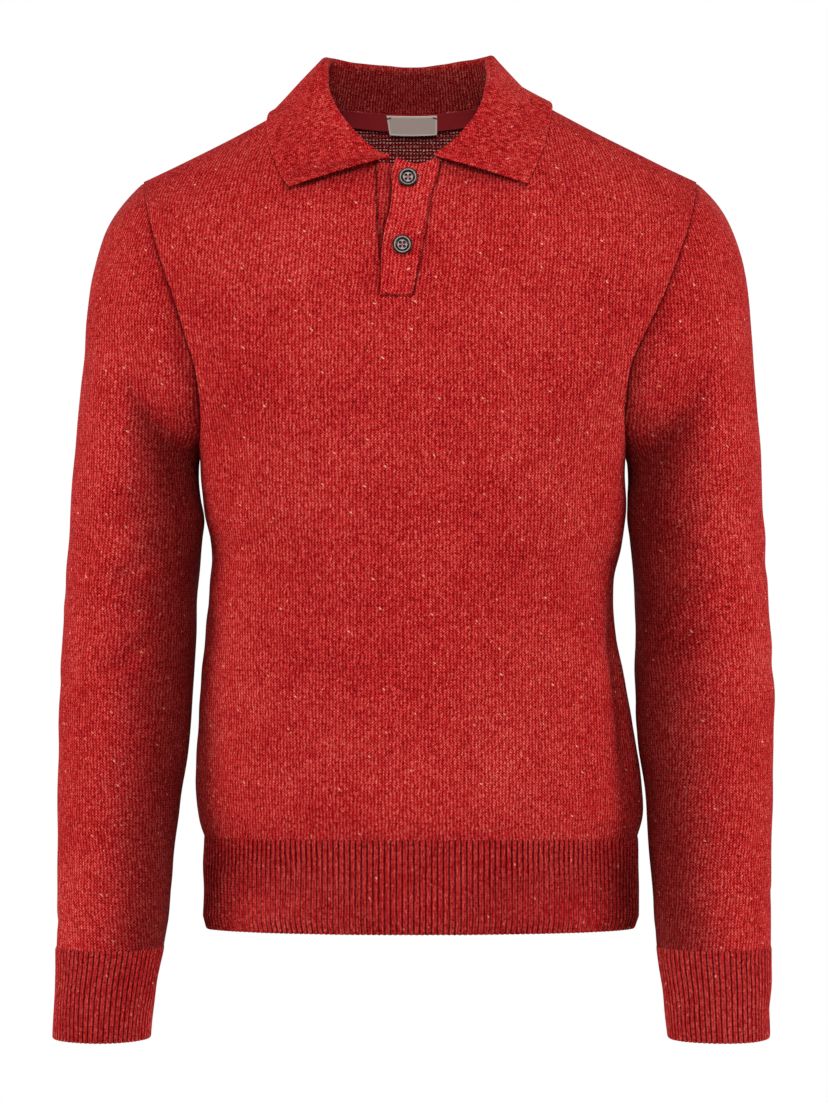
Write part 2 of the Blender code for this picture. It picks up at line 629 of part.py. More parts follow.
def drawn_back(skin):
    """How each rim point moves into its own piece, square to the rim, so that a seam's gap is left open."""
    points = skin["points"]
    rim = rim_edges(skin["faces"])
    run = unit(points[rim[:, 1]] - points[rim[:, 0]])
    total = np.zeros_like(points)
    for end in (0, 1):
        inward = unit(np.cross(skin["normals"][rim[:, end]], run))
        np.add.at(total, rim[:, end], inward)
    size = np.maximum((total**2).sum(1, keepdims=True), 1.2)
    return total * 2 / size * SEAM_GAP / 2


def rim_triangles(rim, points, count):
    """Faces between the outer and inner points of a rim, split the same way on both sides of a seam."""
    start, end = rim[:, 0], rim[:, 1]
    keys = np.round(points / (0.01 * MM)) @ np.array([1.0, 1e5, 1e10])
    first = (keys[start] < keys[end])[:, None]
    back_start, back_end = start + count, end + count
    one = np.where(first, np.stack([end, start, back_end], -1), np.stack([end, start, back_start], -1))
    two = np.where(
        first, np.stack([start, back_start, back_end], -1), np.stack([end, back_start, back_end], -1)
    )
    return np.concatenate([one, two])


def wall_mesh(skin, thickness):
    """A closed wall: the skin, its inner face behind it, and a rim between them."""
    outer = skin["points"] + drawn_back(skin)
    inner = outer - skin["normals"] * (skin["mitre"] * thickness)[:, None]
    count = len(outer)
    faces = skin["faces"]
    sides = rim_triangles(rim_edges(faces), skin["points"], count)
    quads = np.concatenate([faces, faces[:, ::-1] + count])
    points = np.concatenate([outer, inner])
    used, index = np.unique(quads, return_inverse=True)
    place = np.zeros(len(points), int)
    place[used] = np.arange(len(used))
    return points[used], place[quads].tolist() + place[sides].tolist()


def add_object(name, points, faces, material, collection):
    """A mesh object in the garment's collection, smooth where it bends gently."""
    mesh = bpy.data.meshes.new(name)
    mesh.from_pydata([tuple(p) for p in points], [], [tuple(int(i) for i in f) for f in faces])
    mesh.validate()
    mesh.shade_smooth()
    mesh.set_sharp_from_angle(angle=math.radians(50))
    mesh.materials.append(material)
    obj = bpy.data.objects.new(name, mesh)
    collection.objects.link(obj)
    return obj


def make_material(name, colour, roughness):
    """A Principled material with one colour."""
    material = bpy.data.materials.new(name)
    material.use_nodes = True
    shader = material.node_tree.nodes["Principled BSDF"]
    shader.inputs["Base Color"].default_value = colour
    shader.inputs["Roughness"].default_value = roughness
    shader.inputs["Metallic"].default_value = 0.0
    return material


# ---------------------------------------------------------------- ribbed bands


def body_ring(height, parts):
    """A section of the body at the given parts of its length, from the middle front, and its droop."""
    swing = np.linspace(0, 2 * math.pi, 1440, endpoint=False)
    square = smooth(BODY, "height", "square", height)
    hand_reach = [smooth(BODY, "height", hand, height) for hand in ("left", "right")]
    reach = np.where(np.sin(swing) >= 0, *hand_reach)
    side_depth = (-smooth(BODY, "height", "front", height), smooth(BODY, "height", "back", height))
    depth = np.where(np.cos(swing) >= 0, *side_depth)
    x = reach * width_share(swing, square)
    y = depth * np.abs(depth_share(swing, square))
    return even_loop(np.stack([x, y, -HEM_DROOP * np.sin(swing) ** 2], -1), parts)


def even_loop(loop, parts):
    """Points of a closed loop at the given parts of its level length, and that length."""
    closed = np.concatenate([loop, loop[:1]])
    length = np.concatenate([[0], np.cumsum(np.linalg.norm(np.diff(closed[:, :2], axis=0), axis=1))])
    at = np.mod(parts, 1.0) * length[-1]
    return np.stack([np.interp(at, length, column) for column in closed.T], -1), length[-1]


def rib_parts(ribs):
    """Where the outer points of a ribbed loop lie, as parts of its length, and how far they stand out."""
    parts = (np.arange(ribs)[:, None] + np.array(RIB_FLAT)[None, :]) / ribs
    relief = np.tile([RIB_LOW, RIB_HIGH, RIB_HIGH], ribs)
    return parts.reshape(-1), relief


def level_normals(loop_at, parts):
    """Outward normals of a loop that runs anticlockwise seen from above, kept level."""
    run = loop_at(parts + 0.002) - loop_at(parts - 0.002)
    return unit(np.stack([run[:, 1], -run[:, 0], 0 * run[:, 0]], -1))


def ribbed_band(loops, heights, ribs, lean, thickness, clockwise):
    """A closed band with raised ribs outside and a plain inside.

    loops gives, for each height, a function from a part of the loop to a point. Outer points are groove and
    crest corners of each rib. The inside has one point for every few ribs, and fans close both rims.
    """
    parts, relief = rib_parts(ribs)
    inner_parts = (np.arange(ribs // RIBS_PER_LINING_POINT) + 0.5) * RIBS_PER_LINING_POINT / ribs
    group = len(RIB_FLAT) * RIBS_PER_LINING_POINT
    sign = -1 if clockwise else 1
    outer, inner = [], []
    for loop_at, height, share in zip(loops, heights, np.linspace(0, 1, len(heights))):
        up = np.array([0, 0, height])
        moved = parts - lean * share * np.sin(4 * math.pi * parts)
        outer.append(loop_at(moved) + level_normals(loop_at, moved) * sign * relief[:, None] + up)
        moved = inner_parts - lean * share * np.sin(4 * math.pi * inner_parts)
        inner.append(loop_at(moved) - level_normals(loop_at, moved) * sign * thickness + up)
    wide, narrow, levels = len(parts), len(inner_parts), len(heights)
    points = np.concatenate([np.concatenate(outer), np.concatenate(inner)])
    base = levels * wide
    faces = [tuple(f) for f in grid_faces(levels, wide, True)]
    faces += [tuple(f[::-1] + base) for f in grid_faces(levels, narrow, True)]
    for level, forward in ((0, True), (levels - 1, False)):
        for i in range(narrow):
            own = [level * wide + (i * group + k) % wide for k in range(group + 1)]
            here = base + level * narrow + i
            after = base + level * narrow + (i + 1) % narrow
            fan = [(here, b, a) for a, b in zip(own[:-1], own[1:])]
            fan.append((here, after, own[-1]))
            faces += fan if forward else [f[::-1] for f in fan]
    if not clockwise:
        faces = [f[::-1] for f in faces]
    return points, faces


def hem_loop(inset):
    """The hem rib's loop, this far inside the body's lowest section, from the part of its length."""
    def loop_at(parts):
        points = body_ring(HEM_SEAM, parts)[0]
        if inset:
            run = body_ring(HEM_SEAM, parts + 0.002)[0] - body_ring(HEM_SEAM, parts - 0.002)[0]
            points = points - unit(np.stack([run[:, 1], -run[:, 0], 0 * run[:, 0]], -1)) * inset
        return points
    return loop_at


def make_hem_rib(material, collection):
    """The ribbed hem band, turned in a little at its lower edge."""
    heights = (HEM_SEAM - SEAM_GAP / 2, HEM_EDGE + 10 * MM, HEM_EDGE)
    loops = [hem_loop(inset) for inset in (0.0, -0.5 * MM, 2.5 * MM)]
    lean = RIB_LEAN / body_ring(HEM_SEAM, np.zeros(1))[1]
    points, faces = ribbed_band(loops, heights, HEM_RIBS, lean, KNIT - RIB_HIGH, False)
    add_object("hem_rib", points, faces, material, collection)


def cuff_loop(hand, height):
    """A cuff's loop at a height, from the part of its length."""
    turns = np.linspace(0, 1, 360, endpoint=False)
    ring = sleeve_tube(hand, turns, np.full(360, height)) - np.array([0, 0, height])
    return lambda parts: even_loop(ring, parts)[0]


def make_cuff(hand, material, collection):
    """A ribbed cuff below the sleeve's tube."""
    heights = (CUFF_SEAM - SEAM_GAP / 2, (CUFF_SEAM + CUFF_EDGE) / 2, CUFF_EDGE)
    loops = [cuff_loop(hand, height) for height in heights]
    clockwise = SLEEVES[hand]["side"] > 0
    points, faces = ribbed_band(loops, heights, CUFF_RIBS, 0.0, KNIT - RIB_HIGH, clockwise)
    add_object("cuff_" + hand, points, faces, material, collection)


# ---------------------------------------------------------------- collar


def neckline_columns(front, back):
    """The collar's start, column by column, from the panels' own neckline points.

    Gives the outer and inner rim points, already a seam gap above the panels.
    """
    columns = 2 * EDGE_COLUMNS + MIDDLE_COLUMNS + 1
    last = (len(body_rows()) - 1) * columns
    front_right = last + np.arange(EDGE_COLUMNS, -1, -1)
    front_left = last + np.arange(columns - 1, EDGE_COLUMNS + MIDDLE_COLUMNS - 1, -1)
    whole_back = last + np.arange(1, columns - 1)
    pieces = [(front, front_right), (back, whole_back), (front, front_left)]
    outer = np.concatenate([s["points"][i] for s, i in pieces])
    normal = np.concatenate([s["normals"][i] for s, i in pieces])
    mitre = np.concatenate([s["mitre"][i] for s, i in pieces])
    before = np.concatenate([s["points"][i - columns] for s, i in pieces])
    onward = unit(outer - before)
    onward = unit(onward - normal * (onward * normal).sum(1, keepdims=True))
    ends = (COLLAR_END_RIGHT, COLLAR_END_LEFT)
    for end, across in ((0, ends[0]), (-1, ends[1])):
        place = place_of(FRONT, [3.0], [across])
        point = panel_points(FRONT, np.array([3.0]), place)
        where = 0 if end == 0 else len(outer)
        outer = np.insert(outer, where, point[0], axis=0)
        normal = np.insert(normal, where, normal[end], axis=0)
        mitre = np.insert(mitre, where, mitre[end])
        onward = np.insert(onward, where, onward[end], axis=0)
    outer = outer + onward * SEAM_GAP / 2
    inner = outer - normal * (mitre * KNIT)[:, None]
    return outer, inner


def collar_sections(start, along):
    """The collar's middle surface: up the stand, round the roll and down the fall, for each column."""
    fold = np.stack([smooth(COLLAR, "along", "fold_" + k, along) for k in "xyz"], -1)
    edge = np.stack([smooth(COLLAR, "along", "edge_" + k, along) for k in "xyz"], -1)
    run = unit(np.gradient(fold, axis=0))
    up = 2 * fold - start - edge
    up = unit(up - run * (up * run).sum(1, keepdims=True))
    out = np.cross(run, up)
    facing = np.sign((out * (fold - np.array([0, 0, -0.15]))).sum(1, keepdims=True))
    out = out * facing
    radius = smooth(COLLAR_ROLL, "along", "radius", along)[:, None]
    centre = fold - up * radius
    rolled_in = centre - out * radius
    rolled_out = centre + out * radius
    stand_part = np.linspace(0, 1, STAND_STEPS + 1)[:-1, None, None]
    fall_part = np.linspace(0, 1, FALL_STEPS + 1)[1:, None, None]
    roll_angle = np.linspace(0, math.pi, ROLL_STEPS + 1)[:, None, None]
    stand = start + (rolled_in - start) * stand_part
    roll = centre + (up * np.sin(roll_angle) - out * np.cos(roll_angle)) * radius
    fall = rolled_out + (edge - rolled_out) * fall_part
    crown = smooth(COLLAR_ROLL, "along", "crown", along)[:, None]
    fall = fall + out * crown * np.sin(math.pi * fall_part)
    return np.concatenate([stand, roll, fall])


def make_collar(front, back, body_tree, material, collection):
    """The knitted collar: a stand on the neckline, a roll, and a fall that lies over the shoulders."""
    outer_rim, inner_rim = neckline_columns(front, back)
    start = (outer_rim + inner_rim) / 2
    length = np.concatenate([[0], np.cumsum(np.linalg.norm(np.diff(start, axis=0), axis=1))])
    middle = collar_sections(start, length / length[-1])
    first_fall = STAND_STEPS + ROLL_STEPS // 2 + 1
    for i in range(first_fall, middle.shape[0]):
        for j in range(middle.shape[1]):
            middle[i, j] = kept_off(body_tree, middle[i, j], COLLAR_KNIT / 2 + COLLAR_OFF_BODY)
    normals = grid_normals(middle)
    inside = middle - normals * COLLAR_KNIT / 2
    outside = middle + normals * COLLAR_KNIT / 2
    facing_neck = (normals[0] * (inner_rim - outer_rim)).sum(1) > 0
    inside[0] = np.where(facing_neck[:, None], outer_rim, inner_rim)
    outside[0] = np.where(facing_neck[:, None], inner_rim, outer_rim)
    rows, columns = middle.shape[:2]
    faces = grid_faces(rows, columns)
    rim = rim_edges(faces)
    count = rows * columns
    sides = np.stack([rim[:, 1], rim[:, 0], rim[:, 0] + count, rim[:, 1] + count], -1)
    points = np.concatenate([outside.reshape(-1, 3), inside.reshape(-1, 3)])
    everything = np.concatenate([faces, faces[:, ::-1] + count, sides])[:, ::-1]
    add_object("collar", points, everything, material, collection)


def tree_of(surfaces):
    """One search tree over several surfaces, each given as points and faces."""
    shift = np.cumsum([0] + [len(points) for points, _ in surfaces])
    points = np.concatenate([points for points, _ in surfaces])
    faces = np.concatenate([faces + n for (_, faces), n in zip(surfaces, shift)])
    return BVHTree.FromPolygons(points.tolist(), faces.tolist())


def kept_off(tree, point, least):
    """The point, moved out along the body's normal where it lies nearer to the body than this."""
    near, normal, _, _ = tree.find_nearest(Vector(point))
    apart = (Vector(point) - near).dot(normal)
    if apart < least:
        point = point + np.array(normal) * (least - apart)
    return point


# ---------------------------------------------------------------- placket, tape, label, buttons


def strip_on_panel(panel, rows, across, lift, thickness):
    """A strip that follows a panel's own points, moved out by lift, with its inner face a thickness behind."""
    row = np.repeat(np.asarray(rows, float)[:, None], across.shape[1], axis=1)
    flat_row, flat_across = row.reshape(-1), across.reshape(-1)
    place = place_of(panel, flat_row, flat_across).reshape(row.shape)
    points = panel_points(panel, row, place)
    normals = grid_normals(points, panel["facing"])
    outer = points + normals * lift[..., None]
    return outer, outer - normals * thickness


def wall_between(name, outer, inner, material, collection):
    """A closed wall from an outer and an inner grid of the same size."""
    rows, columns = outer.shape[:2]
    faces = grid_faces(rows, columns)
    rim = rim_edges(faces)
    count = rows * columns
    sides = np.stack([rim[:, 1], rim[:, 0], rim[:, 0] + count, rim[:, 1] + count], -1)
    everything = np.concatenate([faces, faces[:, ::-1] + count, sides])
    points = np.concatenate([outer.reshape(-1, 3), inner.reshape(-1, 3)])
    return add_object(name, points, everything, material, collection)


def placket_rows():
    """The rows that the placket crosses, drawn in by half a seam gap at each end."""
    rows = body_rows()
    rows = rows[rows >= NOTCH_FOOT - 1e-6]
    rows[0] += 0.0015
    rows[-1] -= 0.007
    return rows


def make_placket(materials, collection):
    """The two bands of the opening: the upper band buttons over the under band. Gives their outer surfaces."""
    rows = placket_rows()
    height = middle_height(FRONT, rows)
    lines = {k: smooth(PLACKET, "height", k, height) for k in ("under_seam", "free_edge", "band_seam")}
    start = lines["free_edge"]
    end = lines["band_seam"] - SEAM_GAP / 2
    share = np.array([0.0, 0.30, 0.62, 0.86, 1.0])
    across = start[:, None] + (end - start)[:, None] * share
    fall = np.array([1.0, 1.0, 1.0, 0.55, 0.12])
    lift = np.tile(fall * BAND_LIFT, (len(rows), 1))
    over, inner = strip_on_panel(FRONT, rows, across, lift, BAND_KNIT)
    wall_between("placket_over", over, inner, materials["knit"], collection)
    rows[-1] -= UNDER_DROP
    start = lines["under_seam"] + SEAM_GAP / 2
    end = lines["free_edge"] + (lines["band_seam"] - lines["free_edge"]) * 0.60
    across = start[:, None] + (end - start)[:, None] * np.linspace(0, 1, 4)
    lift = np.zeros((len(rows), 4))
    under, inner = strip_on_panel(FRONT, rows, across, lift, BAND_KNIT)
    wall_between("placket_under", under, inner, materials["knit"], collection)
    return [(grid.reshape(-1, 3), grid_faces(*grid.shape[:2])) for grid in (over, under)]


def inside_strip(back, columns, lengths, behind, thickness):
    """A strip on the inside of the back, below the neckline, from the panel's own two last rows.

    Columns are counted from the middle and may lie between the panel's. Its near face lies this far behind
    the panel's inner points.
    """
    width = 2 * EDGE_COLUMNS + MIDDLE_COLUMNS + 1
    normals = back["normals"].reshape(-1, width, 3)[[-1, -2]]
    mitres = back["mitre"].reshape(-1, width, 1)[[-1, -2]]
    inner = back["points"].reshape(-1, width, 3)[[-1, -2]] - normals * mitres * KNIT
    at = np.asarray(columns, float) + width // 2
    low = np.minimum(at.astype(int), width - 2)
    part = (at - low)[None, :, None]
    inner = inner[:, low] * (1 - part) + inner[:, low + 1] * part
    normals = unit(normals[:, low] * (1 - part) + normals[:, low + 1] * part)
    whole = np.linalg.norm(inner[1] - inner[0], axis=1)
    down = np.asarray(lengths)[:, None, None] / whole[None, :, None]
    near = inner[0] + (inner[1] - inner[0]) * down
    normal = unit(normals[0] + (normals[1] - normals[0]) * down)
    near = near - normal * behind
    return near, near - normal * thickness


def make_neck_finish(back, materials, collection):
    """The tape over the back neck seam, and the bare label on it."""
    whole = np.arange(-TAPE_COLUMNS, TAPE_COLUMNS + 1)
    near, far = inside_strip(back, whole, (1.0 * MM, TAPE_HEIGHT), TAPE_GAP, TAPE_THICK)
    wall_between("neck_tape", near, far, materials["tape"], collection)
    spread = back["points"][-(2 * EDGE_COLUMNS + MIDDLE_COLUMNS + 1) :, 0]
    half = LABEL_SIZE[0] / 2
    middle = EDGE_COLUMNS + MIDDLE_COLUMNS // 2
    ends = [np.interp(LABEL_MIDDLE + x, spread, np.arange(len(spread)) - middle) for x in (-half, half)]
    between = [k for k in whole if ends[0] + 0.1 < k < ends[1] - 0.1]
    lengths = (1.3 * MM, LABEL_SIZE[1])
    behind = TAPE_GAP + TAPE_THICK + SEAM_GAP
    near, far = inside_strip(back, [ends[0], *between, ends[1]], lengths, behind, LABEL_THICK)
    wall_between("label", near, far, materials["label"], collection)


def button_profile():
    """A button's half section from the top of its dish out over the rim and back under it."""
    r, t = BUTTON_RADIUS, BUTTON_THICK
    return ((0, t * 0.55), (r * 0.55, t * 0.55), (r * 0.72, t * 0.95), (r * 0.86, t), (r, t * 0.6), (r * 0.88, 0), (0, 0))


def button_frame(across, height, tree):
    """A frame on the upper band at this place, its Z pointing out of the cloth."""
    ahead = Vector((across, -0.5, height))
    point, normal, _, _ = tree.ray_cast(ahead, Vector((0, 1, 0)))
    upright = Vector((0, 0, 1))
    side = upright.cross(normal).normalized()
    over = normal.cross(side).normalized()
    turned = Matrix((side, over, normal)).transposed().to_4x4()
    return Matrix.Translation(point + normal * SEAM_GAP) @ turned


def make_button(name, frame, material, collection, cutters):
    """A round four-hole button: a turned disc with a dish, cut by four round holes."""
    mesh = bpy.data.meshes.new(name)
    profile = [(x, 0.0, z) for x, z in button_profile()]
    mesh.from_pydata(profile, [(i, i + 1) for i in range(len(profile) - 1)], [])
    mesh.materials.append(material)
    obj = bpy.data.objects.new(name, mesh)
    obj.matrix_world = frame
    collection.objects.link(obj)
    turned = obj.modifiers.new("turned", "SCREW")
    turned.steps = turned.render_steps = BUTTON_STEPS
    turned.use_merge_vertices = True
    turned.merge_threshold = 0.00001
    turned.use_smooth_shade = True
    for i in range(4):
        angle = math.pi / 4 + i * math.pi / 2
        offset = Matrix.Translation(
            Vector((math.cos(angle), math.sin(angle), 0)) * BUTTON_HOLE_PITCH * math.sqrt(2)
            + Vector((0, 0, BUTTON_THICK / 2))
        )
        bpy.ops.mesh.primitive_cylinder_add(vertices=8, radius=BUTTON_HOLE, depth=BUTTON_THICK * 3)
        cutter = bpy.context.active_object
        cutter.name = f"{name}_hole_{i + 1}"
        cutter.matrix_world = frame @ offset
        cutter.hide_render = True
        cutter.display_type = "WIRE"
        for owner in list(cutter.users_collection):
            owner.objects.unlink(cutter)
        cutters.objects.link(cutter)
        cut = obj.modifiers.new(f"hole {i + 1}", "BOOLEAN")
        cut.operation = "DIFFERENCE"
        cut.object = cutter
    return obj


# ---------------------------------------------------------------- assembly


def make_skins():
    """The outer surfaces of the panels and sleeves, with shared seam points."""
    skins = {}
    for name, panel, notched in (("front", FRONT, True), ("back", BACK, False)):
        row, _, points = panel_grid(panel, notched)
        rows, columns = points.shape[:2]
        faces = grid_faces(rows, columns)
        if notched:
            first = faces[:, 0]
            column = first % columns
            cut_row = row[:, 0][first // columns] >= NOTCH_FOOT - 1e-6
            inside = (column >= EDGE_COLUMNS) & (column < EDGE_COLUMNS + MIDDLE_COLUMNS)
            faces = faces[~(inside & cut_row)]
        if panel["facing"] > 0:
            faces = faces[:, ::-1]
        skins[name] = {"points": points.reshape(-1, 3), "faces": faces}
    turns = np.arange(2 * ARMHOLE_ROWS) / (2 * ARMHOLE_ROWS)
    for hand in SLEEVES:
        points = sleeve_grid(hand, turns, HEAD_ROWS, TUBE_ROWS)
        rows, columns = points.shape[:2]
        faces = grid_faces(rows, columns, True)
        if SLEEVES[hand]["side"] < 0:
            faces = faces[:, ::-1]
        skins["sleeve_" + hand] = {"points": points.reshape(-1, 3), "faces": faces}
    return skins


def level_rims(skins):
    """Turns the normals level along the seams to the ribbed bands, so that those rims are flat."""
    for name, skin in skins.items():
        columns = 2 * EDGE_COLUMNS + MIDDLE_COLUMNS + 1
        body = name in ("front", "back")
        low = slice(0, columns) if body else slice(-2 * ARMHOLE_ROWS, None)
        skin["normals"][low, 2] = 0
        skin["normals"][low] = unit(skin["normals"][low])


def main():
    for obj in list(bpy.data.objects):
        bpy.data.objects.remove(obj, do_unlink=True)
    garment = bpy.data.collections.new("polo_sweater")
    cutters = bpy.data.collections.new("cutters")
    bpy.context.scene.collection.children.link(garment)
    bpy.context.scene.collection.children.link(cutters)
    materials = {
        "knit": make_material("flecked red knit", RED_KNIT, 0.9),
        "rib": make_material("ribbed red knit", RED_RIB, 0.9),
        "horn": make_material("dark horn", HORN, 0.35),
        "tape": make_material("neck tape", TAPE_RED, 0.85),
        "label": make_material("woven label", LABEL_CLOTH, 0.8),
    }
    skins = make_skins()
    skin_normals(list(skins.values()))
    level_rims(skins)
    for name, skin in skins.items():
        points, faces = wall_mesh(skin, KNIT)
        add_object(name, points, faces, materials["knit"], garment)
    bands = make_placket(materials, garment)
    panels = [(skins[name]["points"], skins[name]["faces"]) for name in ("front", "back")]
    make_collar(skins["front"], skins["back"], tree_of(panels + bands), materials["knit"], garment)
    make_hem_rib(materials["rib"], garment)
    for hand in SLEEVES:
        make_cuff(hand, materials["rib"], garment)
    make_neck_finish(skins["back"], materials, garment)
    band_tree = tree_of(bands[:1])
    for name, (across, height) in BUTTONS.items():
        make_button(name, button_frame(across, height, band_tree), materials["horn"], garment, cutters)


main()
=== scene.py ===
"""Looks of a knitted polo sweater in flecked red wool, worn by nobody, on a plain pale stage.

Metres, +Z up, the front faces -Y and the wearer's right arm is at -X, as in the frame. Every cloth piece is a
thin shell on the form of its solid: the same rings and rows, worked out finer, with creases, seams and a map
that counts knit stitches, so that its yarn, flecks and ribs keep their real size.
"""

import functools
import json
import math

import bpy
import numpy as np
from bpy.props import FloatProperty, FloatVectorProperty, PointerProperty
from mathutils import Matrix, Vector

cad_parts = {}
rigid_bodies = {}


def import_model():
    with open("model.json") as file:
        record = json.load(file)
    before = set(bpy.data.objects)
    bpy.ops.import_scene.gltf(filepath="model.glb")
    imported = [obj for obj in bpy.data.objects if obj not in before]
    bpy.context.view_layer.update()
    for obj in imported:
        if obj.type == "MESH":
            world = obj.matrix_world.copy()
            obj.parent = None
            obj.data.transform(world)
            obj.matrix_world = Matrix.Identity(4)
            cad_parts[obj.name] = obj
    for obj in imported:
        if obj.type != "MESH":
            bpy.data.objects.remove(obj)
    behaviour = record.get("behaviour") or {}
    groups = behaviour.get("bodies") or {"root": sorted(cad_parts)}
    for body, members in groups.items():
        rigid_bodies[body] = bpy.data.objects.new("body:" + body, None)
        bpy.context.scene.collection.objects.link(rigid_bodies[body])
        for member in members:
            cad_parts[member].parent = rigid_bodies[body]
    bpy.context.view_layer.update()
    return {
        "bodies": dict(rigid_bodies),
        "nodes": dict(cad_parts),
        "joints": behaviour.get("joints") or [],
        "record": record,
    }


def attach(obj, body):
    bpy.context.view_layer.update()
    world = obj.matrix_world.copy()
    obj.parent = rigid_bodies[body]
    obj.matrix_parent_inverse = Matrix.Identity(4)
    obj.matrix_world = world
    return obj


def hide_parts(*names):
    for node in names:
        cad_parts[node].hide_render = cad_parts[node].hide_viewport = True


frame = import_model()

bl_info = {
    "name": "Knitted polo sweater",
    "version": (1, 0, 0),
    "blender": (4, 5, 0),
    "location": "3D View > Sidebar > Sweater",
    "description": "Dresses the solids of a worn knitted polo sweater as flecked red wool",
    "category": "Object",
}

MM = 0.001


def table(columns, *rows):
    """A table of sizes, as one array for each named column."""
    return dict(zip(columns.split(), np.array(rows, float).T))


def linear(code, alpha=1.0):
    """An sRGB hex colour as linear red, green, blue and alpha."""
    parts = [int(code[i : i + 2], 16) / 255 for i in (1, 3, 5)]
    return (*[c / 12.92 if c <= 0.04045 else ((c + 0.055) / 1.055) ** 2.4 for c in parts], alpha)


# ---------------------------------------------------------------- sizes of the form

KNIT = 2.2 * MM  # thickness of the plain knit
SEAM_GAP = 0.3 * MM  # between two pieces at a seam

HEM_SEAM = -0.5905  # height of the seam between body and hem rib, at the middle
HEM_EDGE = -0.6645  # height of the hem's lower edge, at the middle
HEM_DROOP = 4.5 * MM  # how much lower the hem hangs at the sides
DROOP_ROWS = 0.45  # the rows that the droop bends
ARMPIT = -0.283
NOTCH_FOOT = 1.8  # row where the placket opening ends

RIB_HIGH = 0.6 * MM  # a rib's crest above the wall's line
RIB_LOW = -0.6 * MM  # the groove between two ribs
HEM_RIBS = 188
CUFF_RIBS = 60
RIB_LEAN = 5.0 * MM  # how far the hem's ribs lean to the middle of front and back
HEM_INSETS = (2.5 * MM, -0.5 * MM, 0.0)  # how far the hem turns in at its edge, 10 mm above it and at its seam
LIP = 1.4 * MM  # the rounding of a band's lower edge

CUFF_SEAM = -0.680
CUFF_EDGE = -0.7515

COLLAR_KNIT = 2.6 * MM
COLLAR_OFF_BODY = 2.2 * MM  # least space between the fall's middle and the body
COLLAR_END_RIGHT = -0.0190  # where the collar stops at the opening
COLLAR_END_LEFT = 0.0172
COLLAR_WALE = 3.0 * MM
COLLAR_COURSE = 1.9 * MM
COLLAR_EDGE = 1.3 * MM  # the rounding of its edges
COLLAR_SCALLOP = 2.6 * MM  # from one bump of its front edges to the next

BAND_KNIT = 2.0 * MM
BAND_LIFT = 2.4 * MM  # the upper band lies so far above the panel's line
BAND_EDGE = 1.1 * MM  # the rounding of its fold
UNDER_DROP = 0.022  # rows that the under band stays below the upper one

BUTTONS = {"button_top": (-0.0047, -0.0743), "button_lower": (-0.0091, -0.1277)}  # across and height
BUTTON_RADIUS = 7.7 * MM
BUTTON_THICK = 3.0 * MM
BUTTON_HOLE = 0.85 * MM
BUTTON_HOLE_PITCH = 1.55 * MM
THREAD_RADIUS = 0.26 * MM

TAPE_THICK = 1.0 * MM
TAPE_GAP = 0.9 * MM  # from the back's inner face
TAPE_HEIGHT = 15.0 * MM
LABEL_THICK = 1.0 * MM
LABEL_SIZE = (41.5 * MM, 17.7 * MM)
LABEL_MIDDLE = -0.0018
LABEL_LEAN = 2.4 * MM  # its right edge leans in so far at the foot

NO_SEAM = 0.02  # a distance to a seam that is too far to show

# Square is how much boxier than an ellipse a section is. Below zero it runs to a flatter front and a
# tighter turn at the side.
BODY = table(
    "height right left front back square",
    (-0.5905, 0.1690, 0.1802, 0.1030, 0.1040, -0.42),
    (-0.578, 0.1732, 0.1842, 0.1075, 0.1080, -0.40),
    (-0.552, 0.1757, 0.1832, 0.1090, 0.1085, -0.35),
    (-0.518, 0.1742, 0.1785, 0.1075, 0.1050, -0.30),
    (-0.470, 0.1710, 0.1695, 0.1040, 0.0985, -0.22),
    (-0.421, 0.1663, 0.1605, 0.1005, 0.0935, -0.10),
    (-0.389, 0.1638, 0.1603, 0.1000, 0.0925, -0.02),
    (-0.365, 0.1630, 0.1665, 0.1005, 0.0930, 0.06),
    (-0.336, 0.1690, 0.1714, 0.1030, 0.0950, 0.18),
    (-0.300, 0.1735, 0.1715, 0.1070, 0.0995, 0.30),
    (-0.283, 0.1745, 0.1722, 0.1090, 0.1025, 0.34),
    (-0.247, 0.1745, 0.1722, 0.1130, 0.1080, 0.38),
    (-0.206, 0.1745, 0.1722, 0.1155, 0.1125, 0.38),
    (-0.168, 0.1745, 0.1722, 0.1155, 0.1130, 0.34),
    (-0.134, 0.1745, 0.1722, 0.1115, 0.1095, 0.28),
    (-0.100, 0.1745, 0.1722, 0.1045, 0.1000, 0.22),
    (-0.062, 0.1745, 0.1722, 0.0945, 0.0855, 0.16),
    (-0.035, 0.1745, 0.1722, 0.0900, 0.0745, 0.12),
    (-0.005, 0.1745, 0.1722, 0.0860, 0.0615, 0.12),
)

